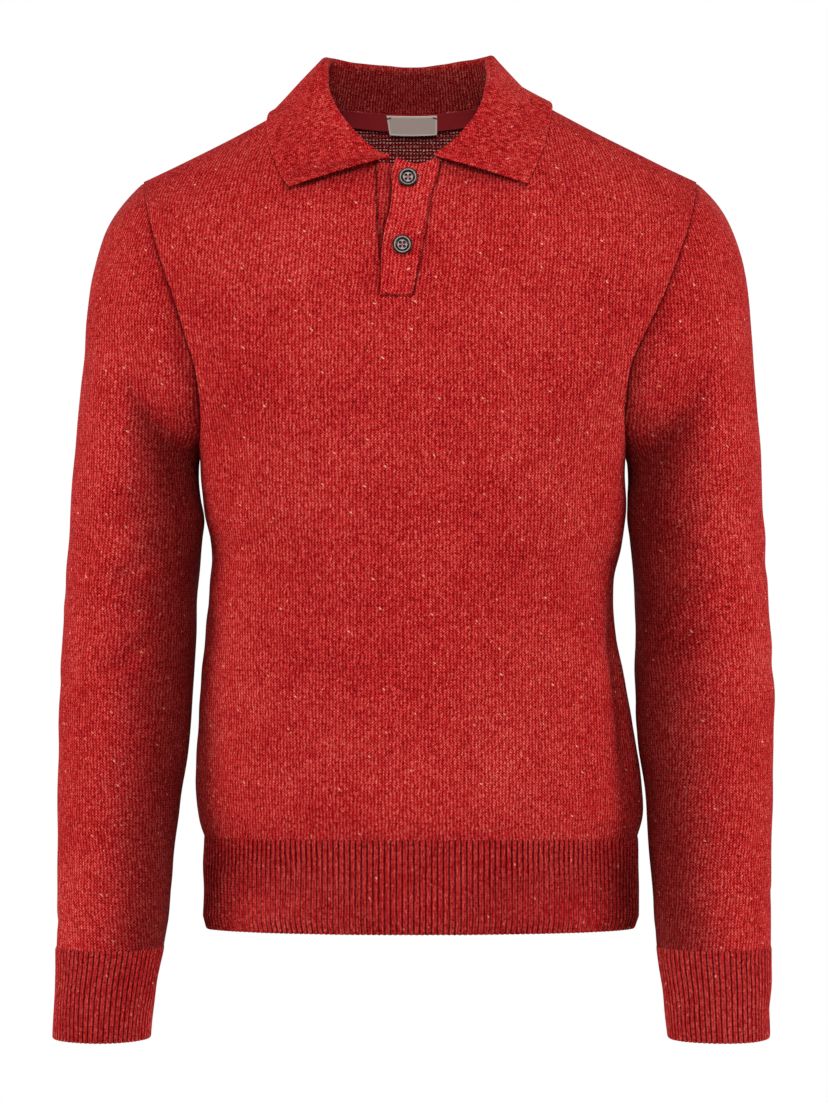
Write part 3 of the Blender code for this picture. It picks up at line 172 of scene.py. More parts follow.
# The armhole's edges: reach is the distance out from the middle, depth is forward or back.
FRONT_ARMHOLE = table(
    "row right left depth height",
    (1.00, 0.1695, 0.1672, 0.0000, -0.2830),
    (1.14, 0.1690, 0.1668, 0.0330, -0.2755),
    (1.27, 0.1690, 0.1668, 0.0595, -0.2585),
    (1.38, 0.1702, 0.1680, 0.0740, -0.2400),
    (1.48, 0.1735, 0.1712, 0.0790, -0.2190),
    (1.60, 0.1808, 0.1815, 0.0785, -0.1955),
    (1.72, 0.1905, 0.1970, 0.0755, -0.1640),
    (1.82, 0.2010, 0.2085, 0.0690, -0.1340),
    (1.90, 0.2095, 0.2190, 0.0575, -0.1040),
    (1.95, 0.2150, 0.2250, 0.0380, -0.0810),
    (2.00, 0.2177, 0.2275, 0.0000, -0.0683),
)
BACK_ARMHOLE = table(
    "row right left depth height",
    (1.00, 0.1695, 0.1672, 0.0000, -0.2830),
    (1.14, 0.1697, 0.1675, 0.0330, -0.2738),
    (1.27, 0.1708, 0.1690, 0.0585, -0.2558),
    (1.38, 0.1740, 0.1745, 0.0715, -0.2365),
    (1.48, 0.1790, 0.1810, 0.0765, -0.2155),
    (1.60, 0.1870, 0.1905, 0.0775, -0.1900),
    (1.72, 0.1955, 0.2020, 0.0745, -0.1600),
    (1.82, 0.2045, 0.2120, 0.0680, -0.1310),
    (1.90, 0.2115, 0.2205, 0.0565, -0.1030),
    (1.95, 0.2155, 0.2255, 0.0370, -0.0805),
    (2.00, 0.2177, 0.2275, 0.0000, -0.0683),
)
NECK_POINT = {"right": (0.0850, 0.0015), "left": (0.0805, 0.007)}
SHOULDER_CROWN = {"right": -3.0 * MM, "left": -1.5 * MM}  # how far each shoulder seam arches up

# The height of each row at the middle. Rows are arcs, cut off where the armhole comes in.
FRONT_ROWS = table(
    "row middle",
    (1.00, -0.2830),
    (1.20, -0.2540),
    (1.40, -0.2250),
    (1.60, -0.1965),
    (1.80, -0.1675),
    (2.00, -0.1385),
    (2.33, -0.1120),
    (2.67, -0.0870),
    (3.00, -0.0625),
)
BACK_ROWS = table(
    "row middle",
    (1.00, -0.2830),
    (1.20, -0.2555),
    (1.40, -0.2275),
    (1.60, -0.1990),
    (1.80, -0.1700),
    (2.00, -0.1400),
    (2.33, -0.0960),
    (2.67, -0.0500),
    (3.00, -0.0050),
)
# How far the cloth beside a row's edge bulges past it, so that the edge lies in a crease.
TUCK = table(
    "row depth",
    (0.00, 0.0),
    (0.72, 0.0),
    (0.86, 1.6 * MM),
    (1.00, 5.0 * MM),
    (1.12, 5.8 * MM),
    (1.24, 5.6 * MM),
    (1.38, 4.2 * MM),
    (1.52, 2.2 * MM),
    (1.70, 0.4 * MM),
    (1.85, 0.0),
    (3.00, 0.0),
)
TUCK_REACH = 0.24  # the part of a row that the crease bends

# The placket: where its three upright lines run, as distances from the middle.
PLACKET = table(
    "height under_seam free_edge band_seam",
    (-0.1675, -0.0264, -0.0262, -0.0016),
    (-0.1607, -0.0264, -0.0260, 0.0005),
    (-0.1474, -0.0264, -0.0256, 0.0036),
    (-0.1325, -0.0272, -0.0250, 0.0062),
    (-0.1157, -0.0285, -0.0228, 0.0093),
    (-0.1016, -0.0294, -0.0190, 0.0114),
    (-0.0864, -0.0296, -0.0170, 0.0140),
    (-0.0714, -0.0300, -0.0172, 0.0195),
    (-0.0620, -0.0305, -0.0135, 0.0215),
)

# Each sleeve's level sections: reach to its outer and inner side, depth of its middle and its half depth.
SLEEVE_RIGHT = table(
    "height outer inner middle half_depth",
    (-0.755, 0.2863, 0.2103, -0.0440, 0.0395),
    (-0.745, 0.2862, 0.2096, -0.0430, 0.0400),
    (-0.710, 0.2859, 0.2057, -0.0370, 0.0418),
    (-0.680, 0.2850, 0.1995, -0.0320, 0.0440),
    (-0.650, 0.2853, 0.1954, -0.0270, 0.0470),
    (-0.610, 0.2853, 0.1925, -0.0200, 0.0492),
    (-0.570, 0.2859, 0.1880, -0.0130, 0.0515),
    (-0.520, 0.2857, 0.1811, -0.0060, 0.0545),
    (-0.470, 0.2855, 0.1774, 0.0000, 0.0570),
    (-0.420, 0.2825, 0.1751, 0.0030, 0.0590),
    (-0.380, 0.2804, 0.1735, 0.0040, 0.0600),
    (-0.356, 0.2789, 0.1711, 0.0040, 0.0607),
    (-0.340, 0.2777, 0.1692, 0.0040, 0.0610),
    (-0.322, 0.2763, 0.1722, 0.0035, 0.0615),
    (-0.300, 0.2745, 0.1755, 0.0030, 0.0620),
    (-0.260, 0.2707, 0.1790, 0.0020, 0.0640),
    (-0.211, 0.2661, 0.1790, 0.0010, 0.0660),
    (-0.163, 0.2621, 0.1790, 0.0000, 0.0660),
    (-0.120, 0.2540, 0.1790, 0.0000, 0.0660),
)
SLEEVE_LEFT = table(
    "height outer inner middle half_depth",
    (-0.755, 0.2823, 0.2020, -0.0440, 0.0395),
    (-0.745, 0.2822, 0.2011, -0.0430, 0.0400),
    (-0.710, 0.2836, 0.1975, -0.0370, 0.0418),
    (-0.680, 0.2846, 0.1936, -0.0320, 0.0440),
    (-0.650, 0.2853, 0.1918, -0.0270, 0.0470),
    (-0.610, 0.2860, 0.1888, -0.0200, 0.0492),
    (-0.570, 0.2875, 0.1865, -0.0150, 0.0515),
    (-0.545, 0.2882, 0.1840, -0.0120, 0.0530),
    (-0.520, 0.2889, 0.1802, -0.0090, 0.0545),
    (-0.470, 0.2899, 0.1780, -0.0040, 0.0570),
    (-0.420, 0.2866, 0.1785, 0.0020, 0.0590),
    (-0.380, 0.2842, 0.1768, 0.0040, 0.0600),
    (-0.356, 0.2830, 0.1740, 0.0040, 0.0607),
    (-0.340, 0.2820, 0.1722, 0.0040, 0.0610),
    (-0.322, 0.2815, 0.1724, 0.0035, 0.0615),
    (-0.300, 0.2801, 0.1745, 0.0030, 0.0620),
    (-0.260, 0.2775, 0.1775, 0.0020, 0.0640),
    (-0.211, 0.2730, 0.1775, 0.0010, 0.0660),
    (-0.163, 0.2700, 0.1775, 0.0000, 0.0660),
    (-0.120, 0.2620, 0.1775, 0.0000, 0.0660),
)
SLEEVES = {
    "right": {"side": -1, "sections": SLEEVE_RIGHT},
    "left": {"side": 1, "sections": SLEEVE_LEFT},
}
# How the sleeve head leaves the armhole: turn 0 is the shoulder point, 0.25 the front, 0.5 the armpit.
SLEEVE_HEAD = table(
    "turn drop swell leave arrive",
    (0.00, 40.0, 0.00, 0.036, 0.046),
    (0.05, 50.0, 0.25, 0.033, 0.044),
    (0.12, 54.0, 0.45, 0.029, 0.042),
    (0.25, 36.0, 0.35, 0.026, 0.034),
    (0.38, 30.0, 0.10, 0.014, 0.022),
    (0.50, 55.0, 0.00, 0.008, 0.012),
    (0.62, 30.0, 0.10, 0.014, 0.022),
    (0.75, 36.0, 0.35, 0.026, 0.034),
    (0.88, 54.0, 0.45, 0.029, 0.042),
    (0.95, 50.0, 0.25, 0.033, 0.044),
    (1.00, 40.0, 0.00, 0.036, 0.046),
)
JOIN_MIDDLE = -0.240  # the head becomes a tube at this height, higher outside and lower inside
JOIN_TILT = 0.075

# The collar's fold line and its free edge, along the neckline from the right end to the left end.
COLLAR = table(
    "along fold_x fold_y fold_z edge_x edge_y edge_z",
    (0.000, -0.0195, -0.0937, -0.0566, -0.0981, -0.0930, -0.0802),
    (0.025, -0.0290, -0.0905, -0.0540, -0.1015, -0.0870, -0.0755),
    (0.055, -0.0405, -0.0845, -0.0442, -0.1050, -0.0800, -0.0700),
    (0.086, -0.0500, -0.0755, -0.0330, -0.1092, -0.0690, -0.0600),
    (0.118, -0.0592, -0.0655, -0.0205, -0.1122, -0.0580, -0.0490),
    (0.150, -0.0650, -0.0530, -0.0075, -0.1141, -0.0460, -0.0385),
    (0.181, -0.0690, -0.0405, 0.0045, -0.1149, -0.0320, -0.0280),
    (0.211, -0.0704, -0.0270, 0.0150, -0.1149, -0.0180, -0.0195),
    (0.240, -0.0707, -0.0130, 0.0230, -0.1147, -0.0040, -0.0135),
    (0.268, -0.0703, 0.0020, 0.0290, -0.1135, 0.0110, -0.0105),
    (0.306, -0.0700, 0.0210, 0.0338, -0.1085, 0.0340, -0.0100),
    (0.345, -0.0672, 0.0370, 0.0358, -0.0990, 0.0540, -0.0120),
    (0.388, -0.0520, 0.0510, 0.0346, -0.0820, 0.0730, -0.0150),
    (0.438, -0.0300, 0.0615, 0.0332, -0.0520, 0.0875, -0.0180),
    (0.494, -0.0040, 0.0660, 0.0319, -0.0040, 0.0940, -0.0200),
    (0.552, 0.0230, 0.0610, 0.0336, 0.0450, 0.0880, -0.0170),
    (0.604, 0.0465, 0.0500, 0.0362, 0.0730, 0.0735, -0.0120),
    (0.648, 0.0598, 0.0350, 0.0372, 0.0890, 0.0545, -0.0080),
    (0.687, 0.0600, 0.0200, 0.0345, 0.0980, 0.0345, -0.0060),
    (0.725, 0.0588, 0.0040, 0.0285, 0.1028, 0.0150, -0.0070),
    (0.756, 0.0596, -0.0130, 0.0215, 0.1042, 0.0010, -0.0110),
    (0.788, 0.0596, -0.0270, 0.0135, 0.1048, -0.0140, -0.0170),
    (0.821, 0.0582, -0.0420, 0.0045, 0.1046, -0.0280, -0.0245),
    (0.855, 0.0556, -0.0550, -0.0065, 0.1037, -0.0425, -0.0340),
    (0.890, 0.0505, -0.0670, -0.0200, 0.1018, -0.0560, -0.0435),
    (0.925, 0.0420, -0.0780, -0.0325, 0.0990, -0.0690, -0.0540),
    (0.958, 0.0315, -0.0868, -0.0448, 0.0950, -0.0810, -0.0645),
    (0.985, 0.0215, -0.0925, -0.0528, 0.0910, -0.0885, -0.0735),
    (1.000, 0.0165, -0.0940, -0.0556, 0.0888, -0.0920, -0.0776),
)
# The roll's radius at the fold, tight where the collar ends at the opening, and how far the fall arches.
COLLAR_ROLL = table(
    "along radius crown",
    (0.00, 1.9 * MM, 2.0 * MM),
    (0.06, 2.3 * MM, 2.0 * MM),
    (0.14, 2.9 * MM, 1.0 * MM),
    (0.22, 3.2 * MM, 0.5 * MM),
    (0.30, 3.3 * MM, 0.5 * MM),
    (0.50, 3.4 * MM, 1.0 * MM),
    (0.70, 3.3 * MM, 1.5 * MM),
    (0.78, 3.2 * MM, 1.5 * MM),
    (0.86, 2.9 * MM, 1.5 * MM),
    (0.94, 2.3 * MM, 2.0 * MM),
    (1.00, 1.9 * MM, 2.0 * MM),
)

# The largest soft folds: girth is measured along the cloth from the middle, tilt from upright.
FRONT_FOLDS = table(
    "girth height tilt length width depth",
    (-0.167, -0.268, 3.0, 0.065, 0.013, -3.0 * MM),
    (-0.138, -0.252, 16.0, 0.070, 0.020, 1.5 * MM),
    (0.167, -0.272, -3.0, 0.065, 0.013, -3.0 * MM),
    (0.136, -0.256, -18.0, 0.070, 0.020, 1.5 * MM),
    (0.213, -0.485, -5.0, 0.075, 0.009, -5.0 * MM),
    (0.190, -0.480, -8.0, 0.080, 0.010, 2.0 * MM),
    (-0.120, -0.400, 62.0, 0.085, 0.018, -1.2 * MM),
    (0.110, -0.395, -66.0, 0.080, 0.018, -1.2 * MM),
)
BACK_FOLDS = table(
    "girth height tilt length width depth",
    (-0.160, -0.262, 8.0, 0.070, 0.015, -3.0 * MM),
    (0.160, -0.266, -8.0, 0.070, 0.015, -3.0 * MM),
    (-0.060, -0.400, 78.0, 0.100, 0.018, -2.5 * MM),
    (0.075, -0.425, -80.0, 0.100, 0.020, -2.5 * MM),
    (0.010, -0.462, 84.0, 0.090, 0.017, 2.0 * MM),
)
BODY_GIRTH_RADIUS = 0.150  # turns a swing angle into a distance along the cloth
SLEEVE_FOLDS = table(
    "girth height tilt length width depth",
    (0.105, -0.395, 62.0, 0.040, 0.012, -2.2 * MM),
    (0.090, -0.430, 70.0, 0.045, 0.013, -2.5 * MM),
    (0.100, -0.468, 58.0, 0.040, 0.012, -1.8 * MM),
    (0.095, -0.330, 35.0, 0.045, 0.015, -1.8 * MM),
)
SLEEVE_GIRTH_RADIUS = 0.052

# The finer creases. Bend curves a crease; girth, height and the rest are as in the folds above.
FRONT_CREASES = table(
    "girth height tilt length width depth bend",
    (-0.150, -0.235, 28.0, 0.045, 0.007, -1.5 * MM, 1.2),
    (-0.128, -0.292, 34.0, 0.050, 0.008, -1.1 * MM, 0.8),
    (-0.158, -0.318, 12.0, 0.045, 0.006, -1.3 * MM, -0.6),
    (-0.140, -0.210, 8.0, 0.035, 0.006, -1.1 * MM, 1.6),
    (-0.112, -0.262, 40.0, 0.040, 0.009, 0.8 * MM, 1.0),
    (0.150, -0.240, -26.0, 0.048, 0.007, -1.4 * MM, -1.0),
    (0.130, -0.300, -38.0, 0.052, 0.008, -1.2 * MM, -0.8),
    (0.160, -0.325, -10.0, 0.050, 0.006, -1.2 * MM, 0.7),
    (0.143, -0.212, -6.0, 0.034, 0.006, -1.0 * MM, -1.4),
    (0.108, -0.268, -42.0, 0.038, 0.009, 0.7 * MM, -1.0),
    (-0.105, -0.462, 74.0, 0.060, 0.012, -1.0 * MM, 1.5),
    (-0.060, -0.498, 82.0, 0.070, 0.015, 0.9 * MM, -1.0),
    (0.020, -0.520, -84.0, 0.065, 0.013, -0.8 * MM, 1.2),
    (0.092, -0.455, -70.0, 0.055, 0.012, -1.0 * MM, -1.4),
    (0.075, -0.505, -4.0, 0.040, 0.007, -0.9 * MM, 0.6),
    (-0.030, -0.440, 80.0, 0.050, 0.014, -0.6 * MM, 1.0),
    (-0.145, -0.540, 58.0, 0.045, 0.010, -1.1 * MM, 1.0),
    (0.155, -0.548, -52.0, 0.045, 0.010, -1.0 * MM, -1.0),
    (-0.087, -0.583, 4.0, 0.018, 0.006, -0.9 * MM, 0.0),
    (-0.072, -0.581, -6.0, 0.016, 0.005, 0.7 * MM, 0.0),
    (0.004, -0.583, 3.0, 0.015, 0.006, -0.7 * MM, 0.0),
    (0.050, -0.582, -5.0, 0.020, 0.006, -0.8 * MM, 0.0),
    (0.106, -0.582, 5.0, 0.018, 0.006, -0.9 * MM, 0.0),
    (-0.048, -0.580, 2.0, 0.014, 0.006, 0.5 * MM, 0.0),
    (0.080, -0.579, -3.0, 0.014, 0.006, 0.6 * MM, 0.0),
    (-0.125, -0.576, 9.0, 0.022, 0.007, -0.9 * MM, 0.0),
    (-0.055, -0.175, 20.0, 0.050, 0.014, -0.7 * MM, -1.0),
    (0.062, -0.185, -16.0, 0.055, 0.015, -0.7 * MM, 1.0),
    (-0.090, -0.135, 46.0, 0.050, 0.012, -0.8 * MM, 0.8),
    (0.095, -0.140, -42.0, 0.050, 0.012, -0.8 * MM, -0.8),
    (-0.010, -0.225, 5.0, 0.035, 0.009, -0.6 * MM, 0.6),
)
BACK_CREASES = table(
    "girth height tilt length width depth bend",
    (-0.148, -0.232, -24.0, 0.050, 0.008, -1.4 * MM, 1.0),
    (-0.130, -0.300, -32.0, 0.055, 0.009, -1.2 * MM, -0.8),
    (-0.162, -0.325, -9.0, 0.045, 0.006, -1.2 * MM, 0.7),
    (0.146, -0.238, 22.0, 0.048, 0.008, -1.4 * MM, -1.1),
    (0.133, -0.306, 30.0, 0.050, 0.009, -1.1 * MM, 0.9),
    (0.160, -0.330, 8.0, 0.046, 0.006, -1.2 * MM, -0.6),
    (0.000, -0.130, 86.0, 0.110, 0.022, -1.4 * MM, 0.5),
    (-0.050, -0.178, 72.0, 0.060, 0.014, 0.8 * MM, -0.9),
    (0.045, -0.372, 82.0, 0.075, 0.013, -1.2 * MM, 1.1),
    (-0.020, -0.505, 86.0, 0.085, 0.014, -1.1 * MM, -0.8),
    (0.098, -0.512, 68.0, 0.055, 0.012, 0.9 * MM, 1.0),
    (-0.110, -0.520, -62.0, 0.060, 0.012, -1.0 * MM, 0.9),
    (-0.095, -0.579, 5.0, 0.020, 0.006, -0.9 * MM, 0.0),
    (-0.035, -0.581, -4.0, 0.016, 0.006, -0.7 * MM, 0.0),
    (0.018, -0.580, 4.0, 0.018, 0.006, 0.6 * MM, 0.0),
    (0.062, -0.581, -3.0, 0.017, 0.006, -0.9 * MM, 0.0),
    (0.118, -0.578, 6.0, 0.022, 0.007, -0.8 * MM, 0.0),
)
# On a sleeve girth runs from the outer line, to the front below zero and to the back above it.
SLEEVE_CREASES = {
    "right": table(
        "girth height tilt length width depth bend",
        (-0.062, -0.352, 64.0, 0.030, 0.006, -1.4 * MM, 1.5),
        (-0.078, -0.388, 56.0, 0.034, 0.007, -1.6 * MM, 1.2),
        (-0.070, -0.424, 66.0, 0.036, 0.007, -1.3 * MM, -1.2),
        (-0.084, -0.452, 50.0, 0.034, 0.007, -1.5 * MM, 1.0),
        (-0.060, -0.492, 60.0, 0.030, 0.007, -1.0 * MM, 1.0),
        (-0.020, -0.405, 74.0, 0.034, 0.009, 0.9 * MM, -1.0),
        (-0.010, -0.470, 70.0, 0.032, 0.009, -0.8 * MM, 1.0),
        (-0.070, -0.560, 38.0, 0.036, 0.008, -1.0 * MM, 1.0),
        (-0.045, -0.618, 48.0, 0.030, 0.008, -1.1 * MM, -1.0),
        (-0.020, -0.655, 64.0, 0.028, 0.006, -1.0 * MM, 1.2),
        (-0.072, -0.650, 40.0, 0.024, 0.006, -0.9 * MM, 0.8),
        (-0.055, -0.290, 26.0, 0.045, 0.009, -1.2 * MM, 1.0),
        (-0.030, -0.200, 12.0, 0.045, 0.010, -1.0 * MM, -1.0),
        (0.066, -0.372, -62.0, 0.034, 0.007, -1.5 * MM, 1.2),
        (0.080, -0.412, -54.0, 0.036, 0.007, -1.4 * MM, -1.0),
        (0.058, -0.450, -66.0, 0.032, 0.008, -1.2 * MM, 1.0),
        (0.074, -0.545, -40.0, 0.038, 0.009, -1.1 * MM, -0.9),
        (0.040, -0.640, -58.0, 0.028, 0.007, -1.1 * MM, 1.0),
        (0.020, -0.300, -20.0, 0.050, 0.011, -1.0 * MM, 0.8),
    ),
    "left": table(
        "girth height tilt length width depth bend",
        (-0.066, -0.345, -60.0, 0.032, 0.006, -1.4 * MM, -1.4),
        (-0.074, -0.380, -66.0, 0.034, 0.007, -1.5 * MM, 1.2),
        (-0.082, -0.416, -54.0, 0.034, 0.007, -1.5 * MM, -1.0),
        (-0.066, -0.446, -64.0, 0.036, 0.007, -1.2 * MM, 1.2),
        (-0.078, -0.480, -48.0, 0.034, 0.008, -1.3 * MM, -1.0),
        (-0.024, -0.392, -76.0, 0.032, 0.009, 0.9 * MM, 1.0),
        (-0.014, -0.460, -68.0, 0.034, 0.009, -0.9 * MM, -1.0),
        (-0.066, -0.548, -40.0, 0.036, 0.008, -1.1 * MM, -1.0),
        (-0.040, -0.606, -52.0, 0.030, 0.008, -1.0 * MM, 1.0),
        (-0.024, -0.650, -62.0, 0.028, 0.006, -1.1 * MM, -1.2),
        (-0.070, -0.642, -38.0, 0.024, 0.006, -0.9 * MM, 0.8),
        (-0.056, -0.284, -24.0, 0.045, 0.009, -1.1 * MM, -1.0),
        (-0.028, -0.205, -14.0, 0.045, 0.010, -1.0 * MM, 1.0),
        (0.064, -0.366, 60.0, 0.034, 0.007, -1.4 * MM, 1.2),
        (0.078, -0.404, 56.0, 0.034, 0.007, -1.5 * MM, -1.0),
        (0.060, -0.446, 64.0, 0.034, 0.008, -1.1 * MM, 1.0),
        (0.070, -0.552, 42.0, 0.038, 0.009, -1.1 * MM, -0.9),
        (0.044, -0.634, 56.0, 0.028, 0.007, -1.1 * MM, 1.0),
        (0.018, -0.310, 22.0, 0.050, 0.011, -1.0 * MM, 0.8),
    ),
}


# ---------------------------------------------------------------- curves, panels and sleeves


def smooth(sizes, key, name, at):
    """The column called name at the given key, on a curve with even slopes through the table's rows."""
    knots, values = sizes[key], sizes[name]
    at = np.clip(np.asarray(at, float), knots[0], knots[-1])
    steps = np.diff(values) / np.diff(knots)
    spans = np.diff(knots)
    slopes = np.empty_like(values)
    slopes[1:-1] = (steps[:-1] * spans[1:] + steps[1:] * spans[:-1]) / (spans[:-1] + spans[1:])
    slopes[0], slopes[-1] = steps[0], steps[-1]
    place = np.clip(np.searchsorted(knots, at, side="right") - 1, 0, len(knots) - 2)
    span = spans[place]
    part = (at - knots[place]) / span
    rise = values[place + 1] - values[place]
    bend_in = part * (1 - part) ** 2 * slopes[place] * span
    bend_out = part * part * (part - 1) * slopes[place + 1] * span
    return values[place] + rise * eased(part) + bend_in + bend_out


def unit(vectors):
    """Each vector at length one."""
    return vectors / np.maximum(np.linalg.norm(vectors, axis=-1, keepdims=True), 1e-12)


def held(value):
    """A value held between 0 and 1."""
    return np.clip(value, 0, 1)


def eased(share):
    """A share from 0 to 1 with a soft start and end."""
    return share * share * (3 - 2 * share)


def rounded(apart, width, least=0.0):
    """How thick a rounded edge is at this distance from it, as a share of the whole."""
    return np.sqrt(np.clip(1 - held(1 - apart / width) ** 2, least, 1))


def relief_of(folds, girth, height):
    """Sum of soft ridges and troughs, bell-shaped across and flat-topped along their length.

    One with a bend follows a curved path and thins out at both ends.
    """
    relief = np.zeros(np.broadcast(girth, height).shape)
    columns = [folds.get(name, 0 * folds["depth"]) for name in "girth height tilt length width depth bend".split()]
    for place, middle, tilt, length, width, depth, bend in zip(*columns):
        lean = math.radians(tilt)
        over, up = girth - place, height - middle
        along = -over * math.sin(lean) + up * math.cos(lean)
        across = over * math.cos(lean) + up * math.sin(lean) - bend * along**2
        narrow = width * (1.15 - 0.4 * held(np.abs(along) / length)) if "bend" in folds else width
        relief = relief + depth * np.exp(-((across / narrow) ** 2) - (along / length) ** 4)
    return relief


def width_share(swing, square):
    """How far out a point at this swing lies, as a share of the widest reach."""
    return np.sin(swing) * (1 + np.maximum(square, 0) * np.cos(swing) ** 2)


def depth_share(swing, square):
    """How far forward a point at this swing lies, as a share of the middle's depth."""
    flat = np.maximum(-square, 0)
    return (1 - flat) * np.cos(swing) + flat * np.cos(swing) ** 2 * np.sign(np.cos(swing))


def swing_for(share, square):
    """The swing at which the depth share has this value."""
    flat = np.maximum(-square, 1e-6)
    return np.arccos((flat - 1 + np.sqrt((1 - flat) ** 2 + 4 * flat * share)) / (2 * flat))


def middle_height(panel, row):
    """The height of a row where it crosses the middle."""
    below = HEM_SEAM + (ARMPIT - HEM_SEAM) * row
    return np.where(row < 1, below, smooth(panel["rows"], "row", "middle", row))


def edge_of(panel, row, hand):
    """Reach, depth and height of a panel's edge: side seam, then armhole, then shoulder seam."""
    hole = panel["armhole"]
    side_height = HEM_SEAM + (ARMPIT - HEM_SEAM) * row
    droop = HEM_DROOP * held(1 - row / DROOP_ROWS) ** 2
    side_reach = smooth(BODY, "height", hand, side_height) - smooth(TUCK, "row", "depth", row)
    hole_reach = smooth(hole, "row", hand, row)
    hole_depth = smooth(hole, "row", "depth", row)
    hole_height = smooth(hole, "row", "height", row)
    up = held(row - 2)
    neck_reach, neck_height = NECK_POINT[hand]
    seam_reach = hole[hand][-1] + (neck_reach - hole[hand][-1]) * up
    seam_height = hole["height"][-1] + (neck_height - hole["height"][-1]) * up
    seam_height = seam_height + SHOULDER_CROWN[hand] * np.sin(math.pi * up)
    low, high = row < 1, row > 2
    reach = np.where(low, side_reach, np.where(high, seam_reach, hole_reach))
    depth = np.where(low | high, 0.0, hole_depth)
    height = np.where(low, side_height - droop, np.where(high, seam_height, hole_height))
    return reach, depth, height


def panel_points(panel, row, place):
    """Points of the front or back, before its folds. Each row is an arc that swings from edge to edge.

    x grows about as the sine of the swing and depth falls about as its cosine, so a row ends at the swing
    whose depth is that of its edge. z changes with the squared sine of the swing. Beside the armpit the arc
    reaches past its edge and is tucked back to it.
    """
    row, place = np.broadcast_arrays(np.asarray(row, float), np.asarray(place, float))
    middle = middle_height(panel, row)
    middle_depth = smooth(BODY, "height", panel["depth"], middle)
    square = smooth(BODY, "height", "square", middle)
    right = edge_of(panel, row, "right")
    left = edge_of(panel, row, "left")
    reach, depth, height = (np.where(place < 0, r, l) for r, l in zip(right, left))
    full = swing_for(depth / middle_depth, square)
    swing = full * place
    tuck = smooth(TUCK, "row", "depth", row)
    tucked = held((np.abs(place) - 1 + TUCK_REACH) / TUCK_REACH) ** 2 * np.sign(place)
    outward = (reach + tuck) * width_share(swing, square) / width_share(full, square) - tuck * tucked
    upward = middle + (height - middle) * (np.sin(swing) / np.sin(full)) ** 2
    return np.stack([outward, middle_depth * depth_share(swing, square) * panel["facing"], upward], -1)


FRONT = {
    "depth": "front",
    "facing": -1,
    "armhole": FRONT_ARMHOLE,
    "rows": FRONT_ROWS,
    "folds": FRONT_FOLDS,
    "creases": FRONT_CREASES,
    "seed": 3,
}
BACK = {
    "depth": "back",
    "facing": 1,
    "armhole": BACK_ARMHOLE,
    "rows": BACK_ROWS,
    "folds": BACK_FOLDS,
    "creases": BACK_CREASES,
    "seed": 5,
}


def place_of(panel, row, across):
    """The places along each row at which the panel lies these distances from the middle."""
    fine = np.linspace(-0.5, 0.5, 401)
    x = panel_points(panel, np.asarray(row, float)[:, None], fine[None, :])[..., 0]
    return np.array([np.interp(a, line, fine) for a, line in zip(across, x)])


def sleeve_tube(hand, turn, height):
    """A level section of the sleeve: an ellipse between its inner and outer reach."""
    sections, side = SLEEVES[hand]["sections"], SLEEVES[hand]["side"]
    outer = smooth(sections, "height", "outer", height)
    inner = smooth(sections, "height", "inner", height)
    middle = smooth(sections, "height", "middle", height)
    half_depth = smooth(sections, "height", "half_depth", height)
    angle = 2 * math.pi * turn
    reach = (outer + inner) / 2 + (outer - inner) / 2 * np.cos(angle)
    return np.stack([side * reach, middle - half_depth * np.sin(angle), height + 0 * angle], -1)


def armhole_loop(hand, turn):
    """The armhole, down the front from the shoulder point to the armpit and up the back."""
    side = SLEEVES[hand]["side"]
    front = edge_of(FRONT, 2 - 2 * turn, hand)
    back = edge_of(BACK, 2 * turn, hand)
    ahead = turn <= 0.5
    reach, depth, height = (np.where(ahead, f, b) for f, b in zip(front, back))
    return np.stack([side * reach, np.where(ahead, -depth, depth), height], -1)


def sleeve_grid(hand, turns, head_rows, tube_rows):
    """Rings of the sleeve: a curved head from the armhole, then a tube down to the cuff seam.

    Each line of the head is a cubic curve that leaves the armhole outwards and arrives straight down.
    """
    side = SLEEVES[hand]["side"]
    start = armhole_loop(hand, turns)
    join = JOIN_MIDDLE + JOIN_TILT * np.cos(2 * math.pi * turns)
    end = sleeve_tube(hand, turns, join)
    below = sleeve_tube(hand, turns, join - MM)
    drop = np.radians(smooth(SLEEVE_HEAD, "turn", "drop", turns))
    swell = smooth(SLEEVE_HEAD, "turn", "swell", turns) * np.where(turns <= 0.5, -1, 1)
    leaving = unit(np.stack([side * np.cos(drop), swell, -np.sin(drop)], -1))
    first = start + leaving * smooth(SLEEVE_HEAD, "turn", "leave", turns)[:, None]
    second = end - unit(below - end) * smooth(SLEEVE_HEAD, "turn", "arrive", turns)[:, None]
    rings = []
    for t in np.union1d(np.linspace(0, 1, head_rows + 1)[:-1], BY_SEAM * 2):
        s = 1 - t
        rings.append(s**3 * start + 3 * s * s * t * first + 3 * s * t * t * second + t**3 * end)
    for t in np.union1d(np.linspace(0, 1, tube_rows + 1), 1 - BY_SEAM * 0.5):
        rings.append(sleeve_tube(hand, turns, join + (CUFF_SEAM - join) * t))
    points = np.array(rings)
    girth = (turns - np.where(turns > 0.5, 1, 0)) * 2 * math.pi * SLEEVE_GIRTH_RADIUS
    fade = held((points[..., 2] - CUFF_SEAM) / 0.02)
    relief = relief_of(SLEEVE_FOLDS, np.abs(girth)[None, :], points[..., 2]) * fade
    close = fade * held(np.linspace(0, 1, len(points)) / 0.04)[:, None]
    relief += relief_of(SLEEVE_CREASES[hand], -girth[None, :], points[..., 2]) * close
    relief += soft_waves(girth[None, :], points[..., 2], 13 + side, 0.030, 0.080, 0.40 * MM) * close
    return points + grid_normals(points, -side, True) * relief[..., None]


